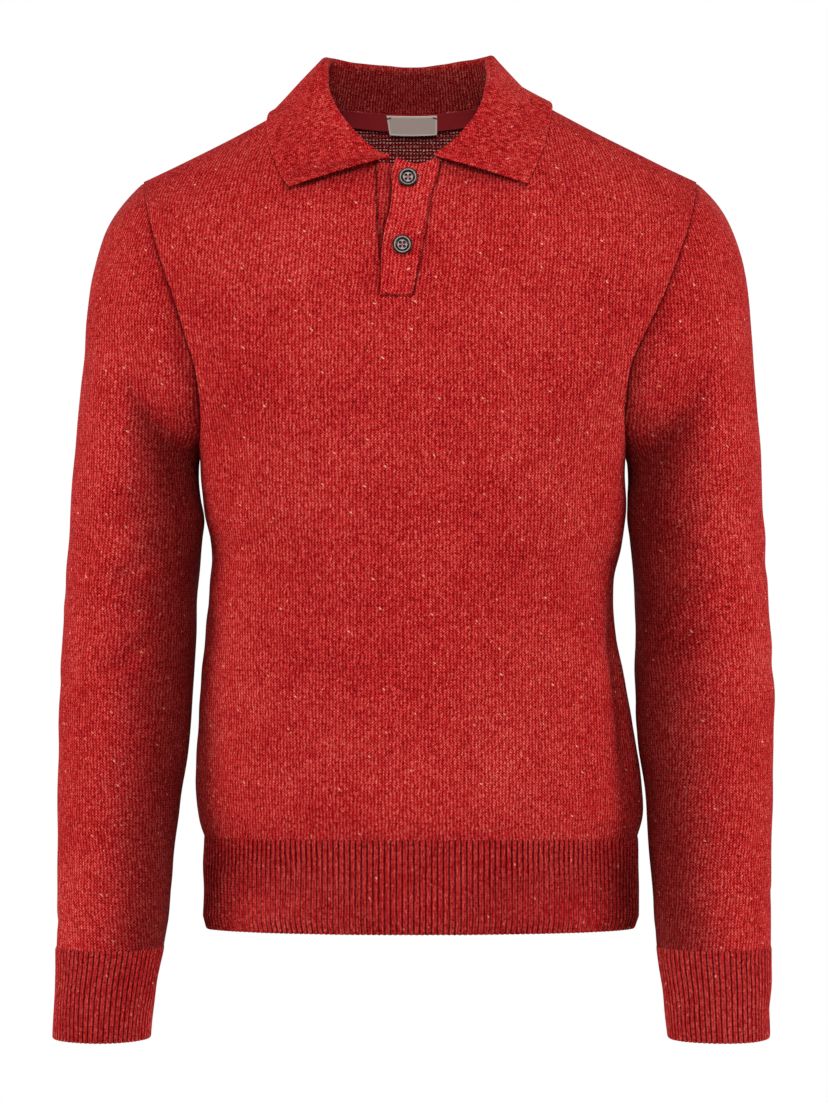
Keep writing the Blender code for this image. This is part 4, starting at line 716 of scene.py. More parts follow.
def grid_normals(points, turn_sign=1, closed=False):
    """Unit normals of a grid of points, from the run of its rows and columns."""
    if closed:
        around = np.roll(points, -1, 1) - np.roll(points, 1, 1)
    else:
        around = np.gradient(points, axis=1)
    down = np.gradient(points, axis=0)
    return unit(np.cross(around, down)) * -turn_sign


def grid_faces(rows, columns):
    """Four-sided faces between neighbouring points of a grid, as corner numbers."""
    r, c = np.meshgrid(np.arange(rows - 1), np.arange(columns - 1), indexing="ij")
    first = r * columns + c
    return np.stack([first, first + 1, first + columns + 1, first + columns], -1).reshape(-1, 4)


def skin_normals(skins):
    """Normals and mitres for all skins together, so that both sides of a seam share them."""
    points = np.concatenate([s["points"] for s in skins])
    shift = np.cumsum([0] + [len(s["points"]) for s in skins])
    faces = np.concatenate([s["faces"] + n for s, n in zip(skins, shift)])
    _, same = np.unique(np.round(points / (0.01 * MM)).astype(int), axis=0, return_inverse=True)
    same = same.reshape(-1)
    corners = points[faces]
    facing = np.cross(corners[:, 2] - corners[:, 0], corners[:, 3] - corners[:, 1])
    total = np.zeros((same.max() + 1, 3))
    for k in range(4):
        np.add.at(total, same[faces[:, k]], facing)
    total = unit(total)
    straight = np.ones(len(total))
    for k in range(4):
        point = same[faces[:, k]]
        np.minimum.at(straight, point, (unit(facing) * total[point]).sum(1))
    mitre = 1 / np.clip(straight, 0.72, 1)
    for s, n in zip(skins, shift):
        s["normals"] = total[same[n : n + len(s["points"])]]
        s["mitre"] = mitre[same[n : n + len(s["points"])]]


def rim_edges(faces):
    """The edges that only one face has, in that face's direction."""
    edges = np.concatenate([faces[:, [k, (k + 1) % 4]] for k in range(4)])
    ordered = np.sort(edges, axis=1)
    _, index, count = np.unique(ordered, axis=0, return_inverse=True, return_counts=True)
    return edges[count[index.reshape(-1)] == 1]


def body_ring(height, parts):
    """A section of the body at the given parts of its length, from the middle front, and its droop."""
    swing = np.linspace(0, 2 * math.pi, 1440, endpoint=False)
    square = smooth(BODY, "height", "square", height)
    hand_reach = [smooth(BODY, "height", hand, height) for hand in ("left", "right")]
    reach = np.where(np.sin(swing) >= 0, *hand_reach)
    side_depth = (-smooth(BODY, "height", "front", height), smooth(BODY, "height", "back", height))
    depth = np.where(np.cos(swing) >= 0, *side_depth)
    x = reach * width_share(swing, square)
    y = depth * np.abs(depth_share(swing, square))
    return even_loop(np.stack([x, y, -HEM_DROOP * np.sin(swing) ** 2], -1), parts)


def even_loop(loop, parts):
    """Points of a closed loop at the given parts of its level length, and that length."""
    closed = np.concatenate([loop, loop[:1]])
    length = np.concatenate([[0], np.cumsum(np.linalg.norm(np.diff(closed[:, :2], axis=0), axis=1))])
    at = np.mod(parts, 1.0) * length[-1]
    return np.stack([np.interp(at, length, column) for column in closed.T], -1), length[-1]


def level_normals(loop_at, parts):
    """Outward normals of a loop that runs anticlockwise seen from above, kept level."""
    run = loop_at(parts + 0.002) - loop_at(parts - 0.002)
    return unit(np.stack([run[:, 1], -run[:, 0], 0 * run[:, 0]], -1))


def collar_sections(start, along):
    """The collar's middle surface: up the stand, round the roll and down the fall, for each column."""
    fold = np.stack([smooth(COLLAR, "along", "fold_" + k, along) for k in "xyz"], -1)
    edge = np.stack([smooth(COLLAR, "along", "edge_" + k, along) for k in "xyz"], -1)
    run = unit(np.gradient(fold, axis=0))
    up = 2 * fold - start - edge
    up = unit(up - run * (up * run).sum(1, keepdims=True))
    out = np.cross(run, up)
    facing = np.sign((out * (fold - np.array([0, 0, -0.15]))).sum(1, keepdims=True))
    out = out * facing
    radius = smooth(COLLAR_ROLL, "along", "radius", along)[:, None]
    centre = fold - up * radius
    rolled_in = centre - out * radius
    rolled_out = centre + out * radius
    stand_part = np.linspace(0, 1, STAND_STEPS + 1)[:-1, None, None]
    fall_part = np.linspace(0, 1, FALL_STEPS + 1)[1:, None, None]
    roll_angle = np.linspace(0, math.pi, ROLL_STEPS + 1)[:, None, None]
    stand = start + (rolled_in - start) * stand_part
    roll = centre + (up * np.sin(roll_angle) - out * np.cos(roll_angle)) * radius
    fall = rolled_out + (edge - rolled_out) * fall_part
    crown = smooth(COLLAR_ROLL, "along", "crown", along)[:, None]
    fall = fall + out * crown * np.sin(math.pi * fall_part)
    return np.concatenate([stand, roll, fall])


# ---------------------------------------------------------------- how finely the cloth is worked out

SIDE_ROWS = 96
ARMHOLE_ROWS = 60
SHOULDER_ROWS = 34
EDGE_COLUMNS = 58  # from each side of a panel to its middle strip
MIDDLE_COLUMNS = 16
HEAD_ROWS = 46
TUBE_ROWS = 130
STAND_STEPS = 12
ROLL_STEPS = 12
FALL_STEPS = 84
RIB_POINTS = 8  # round one rib of the hem
CUFF_POINTS = 10  # round one rib of a cuff
# Extra lines close to a seam, as shares of a row or a column, so that its groove is only a few mm wide.
BY_SEAM = np.array([0.0, 0.004, 0.009, 0.016])

WALE = 2.8 * MM  # from one column of stitches to the next
COURSE = 2.15 * MM  # from one row of stitches to the next

# The collar's front edges on the front: where they lie, and how far down the shadow painted below them reaches.
COLLAR_FRONT = table(
    "across height depth",
    (-0.1020, -0.0830, 0.0),
    (-0.0980, -0.0800, 3.0 * MM),
    (-0.0420, -0.0675, 7.0 * MM),
    (-0.0225, -0.0610, 7.0 * MM),
    (-0.0200, -0.0600, 0.0),
    (0.0150, -0.0600, 0.0),
    (0.0180, -0.0610, 7.0 * MM),
    (0.0400, -0.0670, 7.0 * MM),
    (0.0850, -0.0785, 3.0 * MM),
    (0.0890, -0.0810, 0.0),
)


def soft_waves(first, second, seed, least, most, height, count=16):
    """Low uneven swells: a sum of sine waves of random direction and phase, least to most long."""
    chance = np.random.default_rng(seed)
    total = np.zeros(np.broadcast(first, second).shape)
    for _ in range(count):
        turn, phase = chance.uniform(0, 2 * math.pi, 2)
        size = 2 * math.pi / chance.uniform(least, most)
        total = total + np.sin(size * (first * math.cos(turn) + second * math.sin(turn)) + phase)
    return total * height / math.sqrt(count)


def seam_groove(apart, depth=0.7 * MM, width=1.5 * MM):
    """How far the cloth sinks beside a seam, from the distance to it."""
    return -depth * np.exp(-((apart / width) ** 2))


def run_along(points, axis):
    """The distance along a grid's lines from their first point."""
    step = np.linalg.norm(np.diff(points, axis=axis), axis=-1)
    start = np.zeros_like(np.take(step, [0], axis))
    return np.concatenate([start, np.cumsum(step, axis)], axis)


def from_ends(run, axis):
    """The shorter distance to the two ends of a grid's lines, from the distance to the first end."""
    whole = np.take(run, [-1], axis)
    return np.minimum(run, whole - run)


def stitch_map(points, normals, middle, sleeve=False):
    """Wales across and courses up, counted on the surface from the line of points called middle.

    Each step of the grid is split into its level part, which counts wales, and its part up the slope, which
    counts courses. They are summed up or down the middle line and then along each row. On a sleeve, courses
    are summed up each line from the cuff, and so are the wales of its head, whose rows aren't level.
    """
    level = unit(np.stack([-normals[..., 1], normals[..., 0], 0 * normals[..., 0]], -1))
    steep = np.cross(normals, level)

    def steps(a, b, direction):
        mean = unit((direction[a] + direction[b]) / 2)
        return ((points[b] - points[a]) * mean).sum(-1)

    u = np.zeros(points.shape[:2])
    v = np.zeros(points.shape[:2])
    line = [(slice(0, -1), middle), (slice(1, None), middle)]
    v[1:, middle] = np.cumsum(steps(*line, steep))
    v[:] = v[:, middle][:, None]
    across = [(slice(None), slice(0, -1)), (slice(None), slice(1, None))]
    du, dv = (np.concatenate([0 * v[:, :1], np.cumsum(steps(*across, d), 1)], 1) for d in (level, steep))
    u = du - du[:, middle][:, None]
    v = v + dv - dv[:, middle][:, None]
    if sleeve:
        last = HEAD_ROWS + 4
        down = [(slice(0, -1), slice(None)), (slice(1, None), slice(None))]
        rise = np.concatenate([0 * v[:1], np.cumsum(steps(*down, steep), 0)])
        v = rise - rise[-1:]
        drift = np.concatenate([0 * u[:1], np.cumsum(steps(*down, level), 0)])
        u[:last] = u[last] + drift[:last] - drift[last]
    return np.stack([u / WALE, v / COURSE], -1)


def body_rows():
    """The rows of both panels, with extra ones beside the hem seam and the neckline."""
    side = np.union1d(np.linspace(0, 1, SIDE_ROWS + 1), BY_SEAM * 0.8)
    hole = np.linspace(1, 2, ARMHOLE_ROWS + 1)[1:]
    shoulder = np.linspace(2, 3, SHOULDER_ROWS + 1)[1:-1]
    return np.concatenate([side, hole, shoulder, 3 - BY_SEAM[::-1] * 2])


def folded(panel, row, place, points):
    """The points moved out or in by folds, creases and soft swells, all of which fade before each seam."""
    girth = np.arctan2(points[..., 0], np.abs(points[..., 1])) * BODY_GIRTH_RADIUS
    fade = held(row / 0.12) * held((1 - np.abs(place)) / 0.08)
    relief = relief_of(panel["folds"], girth, points[..., 2]) * fade
    close = held(row / 0.02) * held((3 - row) / 0.3) * held((1 - np.abs(place)) / 0.03)
    relief += relief_of(panel["creases"], girth, points[..., 2]) * close
    relief += soft_waves(girth, points[..., 2], panel["seed"], 0.030, 0.085, 0.45 * MM) * close
    return points + grid_normals(points, panel["facing"]) * relief[..., None]


def notch_edges(columns):
    """The columns of the front on which the opening's two seams run."""
    edge = (columns - MIDDLE_COLUMNS - 1) // 2
    return edge, edge + MIDDLE_COLUMNS


def panel_grid(panel, notched):
    """Rows of points for a panel. With a notch, columns follow the placket's two seams."""
    rows = body_rows()
    if notched:
        height = middle_height(panel, rows)
        right = place_of(panel, rows, smooth(PLACKET, "height", "under_seam", height))
        left = place_of(panel, rows, smooth(PLACKET, "height", "band_seam", height))
    else:
        left = np.full(len(rows), 0.2)
        right = -left
    edge = np.union1d(np.linspace(0, 1, EDGE_COLUMNS + 1), BY_SEAM)
    middle = np.linspace(0, 1, MIDDLE_COLUMNS + 1)
    parts = [
        -1 + (1 + right)[:, None] * edge[:-1],
        right[:, None] + (left - right)[:, None] * middle[:-1],
        1 - (1 - left)[:, None] * edge[::-1],
    ]
    place = np.concatenate(parts, 1)
    row = np.repeat(rows[:, None], place.shape[1], axis=1)
    return row, place, folded(panel, row, place, panel_points(panel, row, place))


@functools.lru_cache(maxsize=None)
def skins():
    """The outer surfaces of the panels and sleeves, with shared seam points and their stitch maps."""
    made = {}
    for name, panel, notched in (("front", FRONT, True), ("back", BACK, False)):
        row, _, points = panel_grid(panel, notched)
        faces = grid_faces(*points.shape[:2])
        if notched:
            columns = points.shape[1]
            low, high = notch_edges(columns)
            first = faces[:, 0]
            open_row = row[:, 0][first // columns] >= NOTCH_FOOT - 1e-6
            inside = (first % columns >= low) & (first % columns < high)
            faces = faces[~(inside & open_row)]
        if panel["facing"] > 0:
            faces = faces[:, ::-1]
        made[name] = {"grid": points, "faces": faces, "middle": points.shape[1] // 2}
        made[name]["hang"] = panel["facing"]
    turns = np.mod(np.linspace(0.5, 1.5, 2 * ARMHOLE_ROWS + 1), 1.0)
    for hand in SLEEVES:
        points = sleeve_grid(hand, turns, HEAD_ROWS, TUBE_ROWS)
        faces = grid_faces(*points.shape[:2])
        if SLEEVES[hand]["side"] < 0:
            faces = faces[:, ::-1]
        made["sleeve_" + hand] = {"grid": points, "faces": faces, "middle": ARMHOLE_ROWS}
    for skin in made.values():
        skin["points"] = skin["grid"].reshape(-1, 3)
    skin_normals(list(made.values()))
    for name, skin in made.items():
        size = skin["grid"].shape[:2]
        normals = skin["normals"].reshape(*size, 3)
        low = 0 if name in ("front", "back") else -1
        normals[low, :, 2] = 0
        normals[low] = unit(normals[low])
        skin["normals"] = normals.reshape(-1, 3)
        facing = skin["hang"] if "hang" in skin else -SLEEVES[name[7:]]["side"]
        whole = grid_normals(skin["grid"], facing)
        skin["map"] = stitch_map(skin["grid"], whole, skin["middle"], "hang" not in skin).reshape(-1, 2)
        along, across = run_along(skin["grid"], 0), run_along(skin["grid"], 1)
        sewn = along[[-1]] - along if "hang" in skin else along
        seam = np.minimum(sewn, from_ends(across, 1))
        if name == "front":
            beside = np.abs(across[:, :, None] - across[:, None, list(notch_edges(across.shape[1]))]).min(2)
            seam = np.where(body_rows()[:, None] >= NOTCH_FOOT - 1e-6, np.minimum(seam, beside), seam)
        skin["seam"] = seam.reshape(-1)
    return made


# ---------------------------------------------------------------- meshes of cloth


def add_mesh(name, points, faces, maps, seam, inside, shelter=None):
    """An object at the origin from whole arrays. maps are stitch counts, seam is the distance to a seam.

    The last argument is painted shade: 1 where other cloth faces a point from close by, and 0 in the open.
    """
    mesh = bpy.data.meshes.new(name)
    mesh.vertices.add(len(points))
    mesh.vertices.foreach_set("co", points.astype(np.float32).ravel())
    mesh.loops.add(faces.size)
    mesh.loops.foreach_set("vertex_index", faces.astype(np.int32).ravel())
    mesh.polygons.add(len(faces))
    mesh.polygons.foreach_set("loop_start", np.arange(0, faces.size, faces.shape[1], dtype=np.int32))
    mesh.polygons.foreach_set("material_index", inside.astype(np.int32))
    mesh.update(calc_edges=True)
    layer = mesh.uv_layers.new(name="stitch")
    layer.data.foreach_set("uv", maps[faces.ravel()].astype(np.float32).ravel())
    shelter = np.zeros(len(points)) if shelter is None else shelter
    for mark, values in (("seam", seam), ("shelter", shelter)):
        mesh.attributes.new(mark, "FLOAT", "POINT").data.foreach_set("value", values.astype(np.float32))
    mesh.shade_smooth()
    mesh.set_sharp_from_angle(angle=math.radians(55))
    obj = bpy.data.objects.new(name, mesh)
    bpy.context.scene.collection.objects.link(obj)
    return obj


def add_wall(name, outer, inner, faces, maps, seam, shelter=None):
    """A closed wall of cloth: outer face, inner face and the rim between them. The inner face is slot two."""
    count = len(outer)
    rim = rim_edges(faces)
    sides = np.stack([rim[:, 1], rim[:, 0], rim[:, 0] + count, rim[:, 1] + count], -1)
    quads = np.concatenate([faces, faces[:, ::-1] + count, sides])
    inside = np.concatenate([np.zeros(len(faces)), np.ones(len(faces)), np.zeros(len(sides))])
    used, place = np.unique(quads, return_inverse=True)
    points = np.concatenate([outer, inner])[used]
    maps = np.concatenate([maps, maps])[used]
    seam = np.concatenate([seam, np.full(count, NO_SEAM)])[used]
    shelter = np.zeros(count) if shelter is None else shelter
    shelter = np.concatenate([shelter, shelter])[used]
    return add_mesh(name, points, place.reshape(quads.shape), maps, seam, inside, shelter)


def add_strip(name, outer, inner, maps=None, seam=None, turned=False, shelter=None):
    """A closed wall between two grids of the same size. The map counts stitches from the first corner."""
    faces = grid_faces(*outer.shape[:2])
    if turned:
        faces = faces[:, ::-1]
    if maps is None:
        across, along = run_along(outer, 1), run_along(outer, 0)
        middle = outer.shape[1] // 2
        maps = np.stack([(across - across[:, middle][:, None]) / WALE, -along / COURSE], -1)
    if seam is None:
        seam = np.full(outer.shape[:2], NO_SEAM)
    flat = outer.reshape(-1, 3), inner.reshape(-1, 3), faces, maps.reshape(-1, 2), seam.reshape(-1)
    return add_wall(name, *flat, shelter if shelter is None else shelter.reshape(-1))


def dressed(piece, nodes, slot, *materials):
    """Gives a piece its materials, the body that it rides on and the nodes that it stands for, which it hides. The
    slot argument is not used.
    """
    for material in materials:
        piece.data.materials.append(material)
    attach(piece, "root")
    if nodes:
        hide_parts(*nodes)
    return piece


def painted_collar_shadow(points):
    """Painted shadow on the cloth just below the collar's two front edges, strongest at the edge."""
    x, z = points[..., 0], points[..., 2]
    edge = np.interp(x, COLLAR_FRONT["across"], COLLAR_FRONT["height"])
    wide = np.interp(x, COLLAR_FRONT["across"], COLLAR_FRONT["depth"])
    return 0.8 * np.exp(-np.maximum(edge - z, 0) / np.maximum(wide, 0.1 * MM)) * (wide > 0.1 * MM)


def make_panel(name):
    """A panel or sleeve: its skin sinks at the seams, and its inner face lies a wall behind.

    Below the armhole, shade is painted on a sleeve where its normal turns to the body, and on the front a shadow
    is painted below the collar's front edges.
    """
    skin = skins()[name]
    sunk = seam_groove(skin["seam"])[:, None]
    outer = skin["points"] + skin["normals"] * sunk
    inner = skin["points"] - skin["normals"] * (skin["mitre"] * KNIT)[:, None]
    shelter = np.zeros(len(outer))
    # Painted shade on the inner side of a sleeve, below the armhole.
    if name.startswith("sleeve"):
        turned = -SLEEVES[name[7:]]["side"] * skin["normals"][:, 0]
        below = held((-0.15 - outer[:, 2]) / 0.09)
        shelter = held((turned + 0.35) / 1.0) * eased(below)
    # Painted shadow on the front just below the collar's front edges.
    if name == "front":
        shelter = painted_collar_shadow(outer)
    return add_wall(name + "_cloth", outer, inner, skin["faces"], skin["map"], skin["seam"], shelter)


# ---------------------------------------------------------------- ribbed bands


def make_band(name, loops, heights, ribs, around, lean, droop_out, clockwise):
    """A ribbed band between a loop function at each height, with ribs on both faces.

    A point's place round the loop is its part of the length. It stands out by a rounded wave with one crest
    for each rib, and the crests lean to the middle of the front and back. The lower lip is rounded off.
    """
    parts = np.arange(ribs * around + 1) / (ribs * around)
    wave = np.abs(np.sin(math.pi * parts * ribs)) ** 0.75
    sign = -1 if clockwise else 1
    chance = np.random.default_rng(7)
    uneven = np.interp(parts * ribs, np.arange(ribs + 1), chance.uniform(0.8, 1.1, ribs + 1))
    outer, inner, map_rows = [], [], []
    lengths = [loop_at(np.zeros(1), True) for loop_at in loops]
    span = heights[0] - heights[-1]
    for i, (loop_at, height) in enumerate(zip(loops, heights)):
        share = (heights[0] - height) / span
        moved = parts - lean * share * np.sin(4 * math.pi * parts)
        out = level_normals(loop_at, moved) * sign
        lip = rounded(height - heights[-1], LIP)
        top = 1 - math.exp(-(((heights[0] - height) / (1.5 * MM)) ** 2))
        relief = (RIB_LOW + (RIB_HIGH - RIB_LOW) * wave * uneven) * (0.35 + 0.65 * top) - (1 - top) * 0.1 * MM
        wobble = soft_waves(moved * lengths[i], np.full(len(parts), height), droop_out, 0.03, 0.08, 0.5 * MM) * top
        rise = np.array([0, 0, height]) - np.array([0, 0, 0.5 * MM]) * ((1 - lip) * wave)[:, None]
        middle = loop_at(moved) + out * (wobble - KNIT / 2)[:, None] + rise
        half = (KNIT / 2 + relief) * (0.35 + 0.65 * lip)
        back = (KNIT / 2 - 0.5 * relief) * (0.35 + 0.65 * lip)
        outer.append(middle + out * half[:, None])
        inner.append(middle - out * back[:, None])
        map_rows.append(np.stack([moved * ribs * 2, np.full(len(parts), height / COURSE)], -1))
    outer, inner, maps = np.array(outer), np.array(inner), np.array(map_rows)
    outer[:, -1], inner[:, -1] = outer[:, 0], inner[:, 0]
    seam = np.repeat((heights[0] - np.array(heights))[:, None], len(parts), axis=1) + 0.6 * MM
    return add_strip(name, outer, inner, maps, seam, turned=not clockwise)


def band_heights(top, foot, steps):
    """Heights down a band, closer together at the seam and at the lip."""
    start = [top, top - 0.8 * MM, top - 1.8 * MM, top - 3 * MM]
    end = [foot + 2 * MM, foot + MM, foot + 0.4 * MM, foot]
    return [*start, *np.linspace(top - 5 * MM, foot + 4 * MM, steps), *end]


def make_hem():
    """The hem rib, turned in a little at its lower edge."""
    heights = band_heights(HEM_SEAM, HEM_EDGE, 12)
    down = [HEM_EDGE, HEM_EDGE + 10 * MM, HEM_SEAM]

    def ring(height):
        inset = np.interp(height, down, HEM_INSETS)

        def loop_at(parts, whole=False):
            points, length = body_ring(HEM_SEAM, parts)
            if whole:
                return length
            return points - level_normals(lambda at: body_ring(HEM_SEAM, at)[0], parts) * inset

        return loop_at

    lean = RIB_LEAN / body_ring(HEM_SEAM, np.zeros(1))[1]
    return make_band("hem_ribbing", [ring(h) for h in heights], heights, HEM_RIBS, RIB_POINTS, lean, 11, False)


def make_cuff(hand):
    """A ribbed cuff below the sleeve's tube."""
    heights = band_heights(CUFF_SEAM, CUFF_EDGE, 12)
    turns = np.linspace(0, 1, 360, endpoint=False)

    def ring(height):
        loop = sleeve_tube(hand, turns, np.full(360, height)) - np.array([0, 0, height])

        def loop_at(parts, whole=False):
            points, length = even_loop(loop, parts)
            return length if whole else points

        return loop_at

    side = SLEEVES[hand]["side"]
    loops = [ring(h) for h in heights]
    return make_band("cuff_ribbing_" + hand, loops, heights, CUFF_RIBS, CUFF_POINTS, 0.0, 20 + side, side > 0)


# ---------------------------------------------------------------- collar


def neckline_columns(front, back):
    """The collar's start, column by column, from the panels' own neckline and past it at both ends."""
    columns = front["grid"].shape[1]
    right, left = notch_edges(columns)
    last = len(front["points"]) - columns
    pieces = [
        (front, last + np.arange(right, -1, -1)),
        (back, last + np.arange(1, columns - 1)),
        (front, last + np.arange(columns - 1, left - 1, -1)),
    ]
    outer = np.concatenate([s["points"][i] for s, i in pieces])
    normal = np.concatenate([s["normals"][i] for s, i in pieces])
    mitre = np.concatenate([s["mitre"][i] for s, i in pieces])
    before = np.concatenate([s["points"][i - columns] for s, i in pieces])
    onward = unit(outer - before)
    onward = unit(onward - normal * (onward * normal).sum(1, keepdims=True))
    for end, across, count in ((0, COLLAR_END_RIGHT, 9), (-1, COLLAR_END_LEFT, 4)):
        more = np.linspace(across, outer[end, 0], count + 1)[:-1]
        place = place_of(FRONT, np.array([3.0]), more[None, :])[0]
        points = panel_points(FRONT, 3.0, place)
        same = [np.repeat(a[[end]], count, axis=0) for a in (normal, mitre, onward)]
        order = slice(None) if end == 0 else slice(None, None, -1)
        joined = []
        for grown, old in zip((points[order], *same), (outer, normal, mitre, onward)):
            joined.append(np.concatenate([grown, old] if end == 0 else [old, grown]))
        outer, normal, mitre, onward = joined
    inner = outer - normal * (mitre * KNIT)[:, None]
    return outer, inner


def kept_off(points, body, normals, least):
    """Points moved out along the body's normal where they lie nearer to its points than this."""
    flat = points.reshape(-1, 3).copy()
    for part in np.array_split(np.arange(len(flat)), 40):
        apart = ((flat[part][:, None, :] - body[None, :, :]) ** 2).sum(-1)
        near = apart.argmin(1)
        off = ((flat[part] - body[near]) * normals[near]).sum(1)
        flat[part] += normals[near] * np.maximum(least - off, 0)[:, None]
    return flat.reshape(points.shape)


def make_collar():
    """The knitted collar: a stand on the neckline, a roll, and a fall that lies over the shoulders.

    Its wales run from the neckline to the free edge, as fine ridges, and the free edge is drawn in by them.
    """
    front, back = skins()["front"], skins()["back"]
    outer_rim, inner_rim = neckline_columns(front, back)
    start = (outer_rim + inner_rim) / 2
    length = np.concatenate([[0], np.cumsum(np.linalg.norm(np.diff(start, axis=0), axis=1))])
    middle = collar_sections(start, length / length[-1])
    bands = placket_grids()
    body = [s["points"] for s in (front, back)] + [b[0].reshape(-1, 3) for b in bands]
    normals = [s["normals"] for s in (front, back)] + [grid_normals(b[0], -1).reshape(-1, 3) for b in bands]
    body, normals = np.concatenate(body), np.concatenate(normals)
    high = body[:, 2] > -0.115
    first_fall = STAND_STEPS + ROLL_STEPS // 2 + 1
    least = COLLAR_KNIT / 2 + COLLAR_OFF_BODY
    middle[first_fall:] = kept_off(middle[first_fall:], body[high], normals[high], least)
    along, across = run_along(middle, 0), run_along(middle, 1)
    girth = across[first_fall + FALL_STEPS // 2][None, :] + 0 * along
    free = along[-1][None, :] - along
    ends = from_ends(across, 1)
    swell = soft_waves(girth, along, 31, 0.025, 0.07, 0.35 * MM) * held(along / 0.012)
    past = along - along[[STAND_STEPS + ROLL_STEPS // 2]]
    open_side = held(-past / 0.008)
    ridges = 0.14 * MM * np.cos(2 * math.pi * girth / COLLAR_WALE) * held(free / 0.002) * open_side
    facing = grid_normals(middle)
    middle = middle + facing * swell[..., None]
    thin = rounded(free, COLLAR_EDGE, 0.06) * rounded(ends, COLLAR_EDGE, 0.06)
    onward = unit(np.gradient(middle, axis=1)) * np.sign(across - across[:, [-1]] / 2)[..., None]
    scallop = 0.55 * MM * np.abs(np.sin(math.pi * along / COLLAR_SCALLOP)) * held(1 - ends / 0.004)
    middle = middle + onward * (scallop * held(past / 0.006))[..., None]
    half = COLLAR_KNIT / 2 * thin
    inside = middle - facing * (half + ridges)[..., None]
    outside = middle + facing * (half + ridges)[..., None]
    to_neck = ((facing[0] * (inner_rim - outer_rim)).sum(1) > 0)[:, None]
    inside[0] = np.where(to_neck, outer_rim, inner_rim)
    outside[0] = np.where(to_neck, inner_rim, outer_rim)
    maps = np.stack([girth / COLLAR_WALE, past / COLLAR_COURSE], -1)
    seam = np.minimum(along, free + 0.6 * MM)
    # Painted shade over the collar's stand and roll, fading out just past the fold.
    shelter = 0.75 * held((0.002 - past) / 0.010)
    return add_strip("collar_cloth", outside, inside, maps, seam, turned=True, shelter=shelter)


# ---------------------------------------------------------------- opening, tape and label


def strip_on_panel(panel, rows, across, lift, thickness):
    """A strip that follows a panel's own points, moved out by lift, with its inner face a thickness behind."""
    row = np.repeat(np.asarray(rows, float)[:, None], across.shape[1], axis=1)
    points = panel_points(panel, row, place_of(panel, rows, across))
    normals = grid_normals(points, panel["facing"])
    outer = points + normals * lift[..., None]
    return outer, outer - normals * np.broadcast_to(thickness, lift.shape)[..., None]


@functools.lru_cache(maxsize=None)
def placket_grids():
    """The upper and the under band of the opening, each as an outer and an inner grid.

    The upper band lies flat over the under one and comes down to the panel at its own seam. Its free edge
    is a fold, so it is rounded. The third grid of each is the distance to a seam or to the fold; on the under
    band it is shortened, so that its darkening paints the shade of the slit and of the upper band's fold. The
    fourth is painted shade: none on the upper band, and on the under band deepest beside the fold.
    """
    rows = np.concatenate([[NOTCH_FOOT + 0.0015], np.linspace(NOTCH_FOOT + 0.02, 2.97, 64), [2.993]])
    height = middle_height(FRONT, rows)
    lines = {k: smooth(PLACKET, "height", k, height) for k in ("under_seam", "free_edge", "band_seam")}
    share = np.union1d(np.linspace(0, 1, 21), [0.012, 0.03, 0.97])
    start, end = lines["free_edge"], lines["band_seam"] - 0.1 * MM
    across = start[:, None] + (end - start)[:, None] * share
    apart = (across - start[:, None])
    fall = 0.12 + 0.88 * (1 - held((share - 0.60) / 0.40) ** 1.7)
    thin = rounded(apart, BAND_EDGE)
    stitched = seam_groove(apart - 2.2 * MM, 0.25 * MM, 0.7 * MM)
    lift = fall * BAND_LIFT - (1 - thin) * 0.9 * MM + stitched
    waves = soft_waves(across, height[:, None] + 0 * across, 41, 0.014, 0.04, 0.22 * MM)
    lift = lift + waves * held(apart / 0.004) * held((end[:, None] - across) / 0.005)
    over = strip_on_panel(FRONT, rows, across, lift, BAND_KNIT * (0.3 + 0.7 * thin))
    corner = 4.4 * MM * held(1 - share / 0.45) ** 1.3 + 4.2 * MM * held((share - 0.55) / 0.45)
    top = held(1 - (rows[-1] - rows) / 0.25) ** 2
    rise = (top[:, None] * (corner - 0.6 * MM))[..., None] * np.array([0, 0.25, 0.97])
    foot = run_along(over[0], 0)
    over_seam = np.minimum(end[:, None] - across, foot) + 0.15 * MM
    over = over[0] + rise, over[1] + rise, np.maximum(over_seam, 0) * 0.6, 0 * over_seam
    fold = lines["free_edge"][:, None]
    rows = rows.copy()
    rows[-1] -= UNDER_DROP
    start = lines["under_seam"] + 0.1 * MM
    end = lines["free_edge"] + (lines["band_seam"] - lines["free_edge"]) * 0.60
    across = start[:, None] + (end - start)[:, None] * np.linspace(0, 1, 16)
    under = strip_on_panel(FRONT, rows, across, np.zeros(across.shape), BAND_KNIT)
    # Painted shade on the under band: beside its seam for the slit and beside the upper band's fold for its
    # shadow, through the seam darkening; the last grid is more painted shade, deepest at the fold.
    shade = np.minimum((across - start[:, None]) * 0.45, held(fold - across) * 0.35)
    return over, (*under, np.maximum(shade, 0), 0.35 + 0.45 * held(1 - (fold - across) / 0.006))


def inside_strip(places, lengths, behind, thickness):
    """A strip on the inside of the back below the neckline, from the panel's own curve.

    places run from edge to edge of the panel, in one row or a row for each length, and lengths run down from
    the neckline.
    """
    places = np.atleast_2d(np.asarray(places, float))
    quarter = np.linalg.norm(panel_points(BACK, 3.0, places) - panel_points(BACK, 2.75, places), axis=-1)
    row = 3 - 0.25 * np.asarray(lengths, float)[:, None] / quarter
    points = panel_points(BACK, row, places + 0 * row)
    normals = grid_normals(points, -1)
    near = points - normals * (KNIT + behind)
    return near, near - normals * thickness


def make_tape():
    """The tape over the back neck seam."""
    lengths = np.linspace(0.3 * MM, TAPE_HEIGHT, 14)
    near, far = inside_strip(np.linspace(-0.9, 0.9, 120), lengths, TAPE_GAP, TAPE_THICK)
    maps = np.stack(np.meshgrid(np.linspace(0, 170, 120), lengths / MM), -1)
    return add_strip("neck_tape_cloth", near, far, maps)


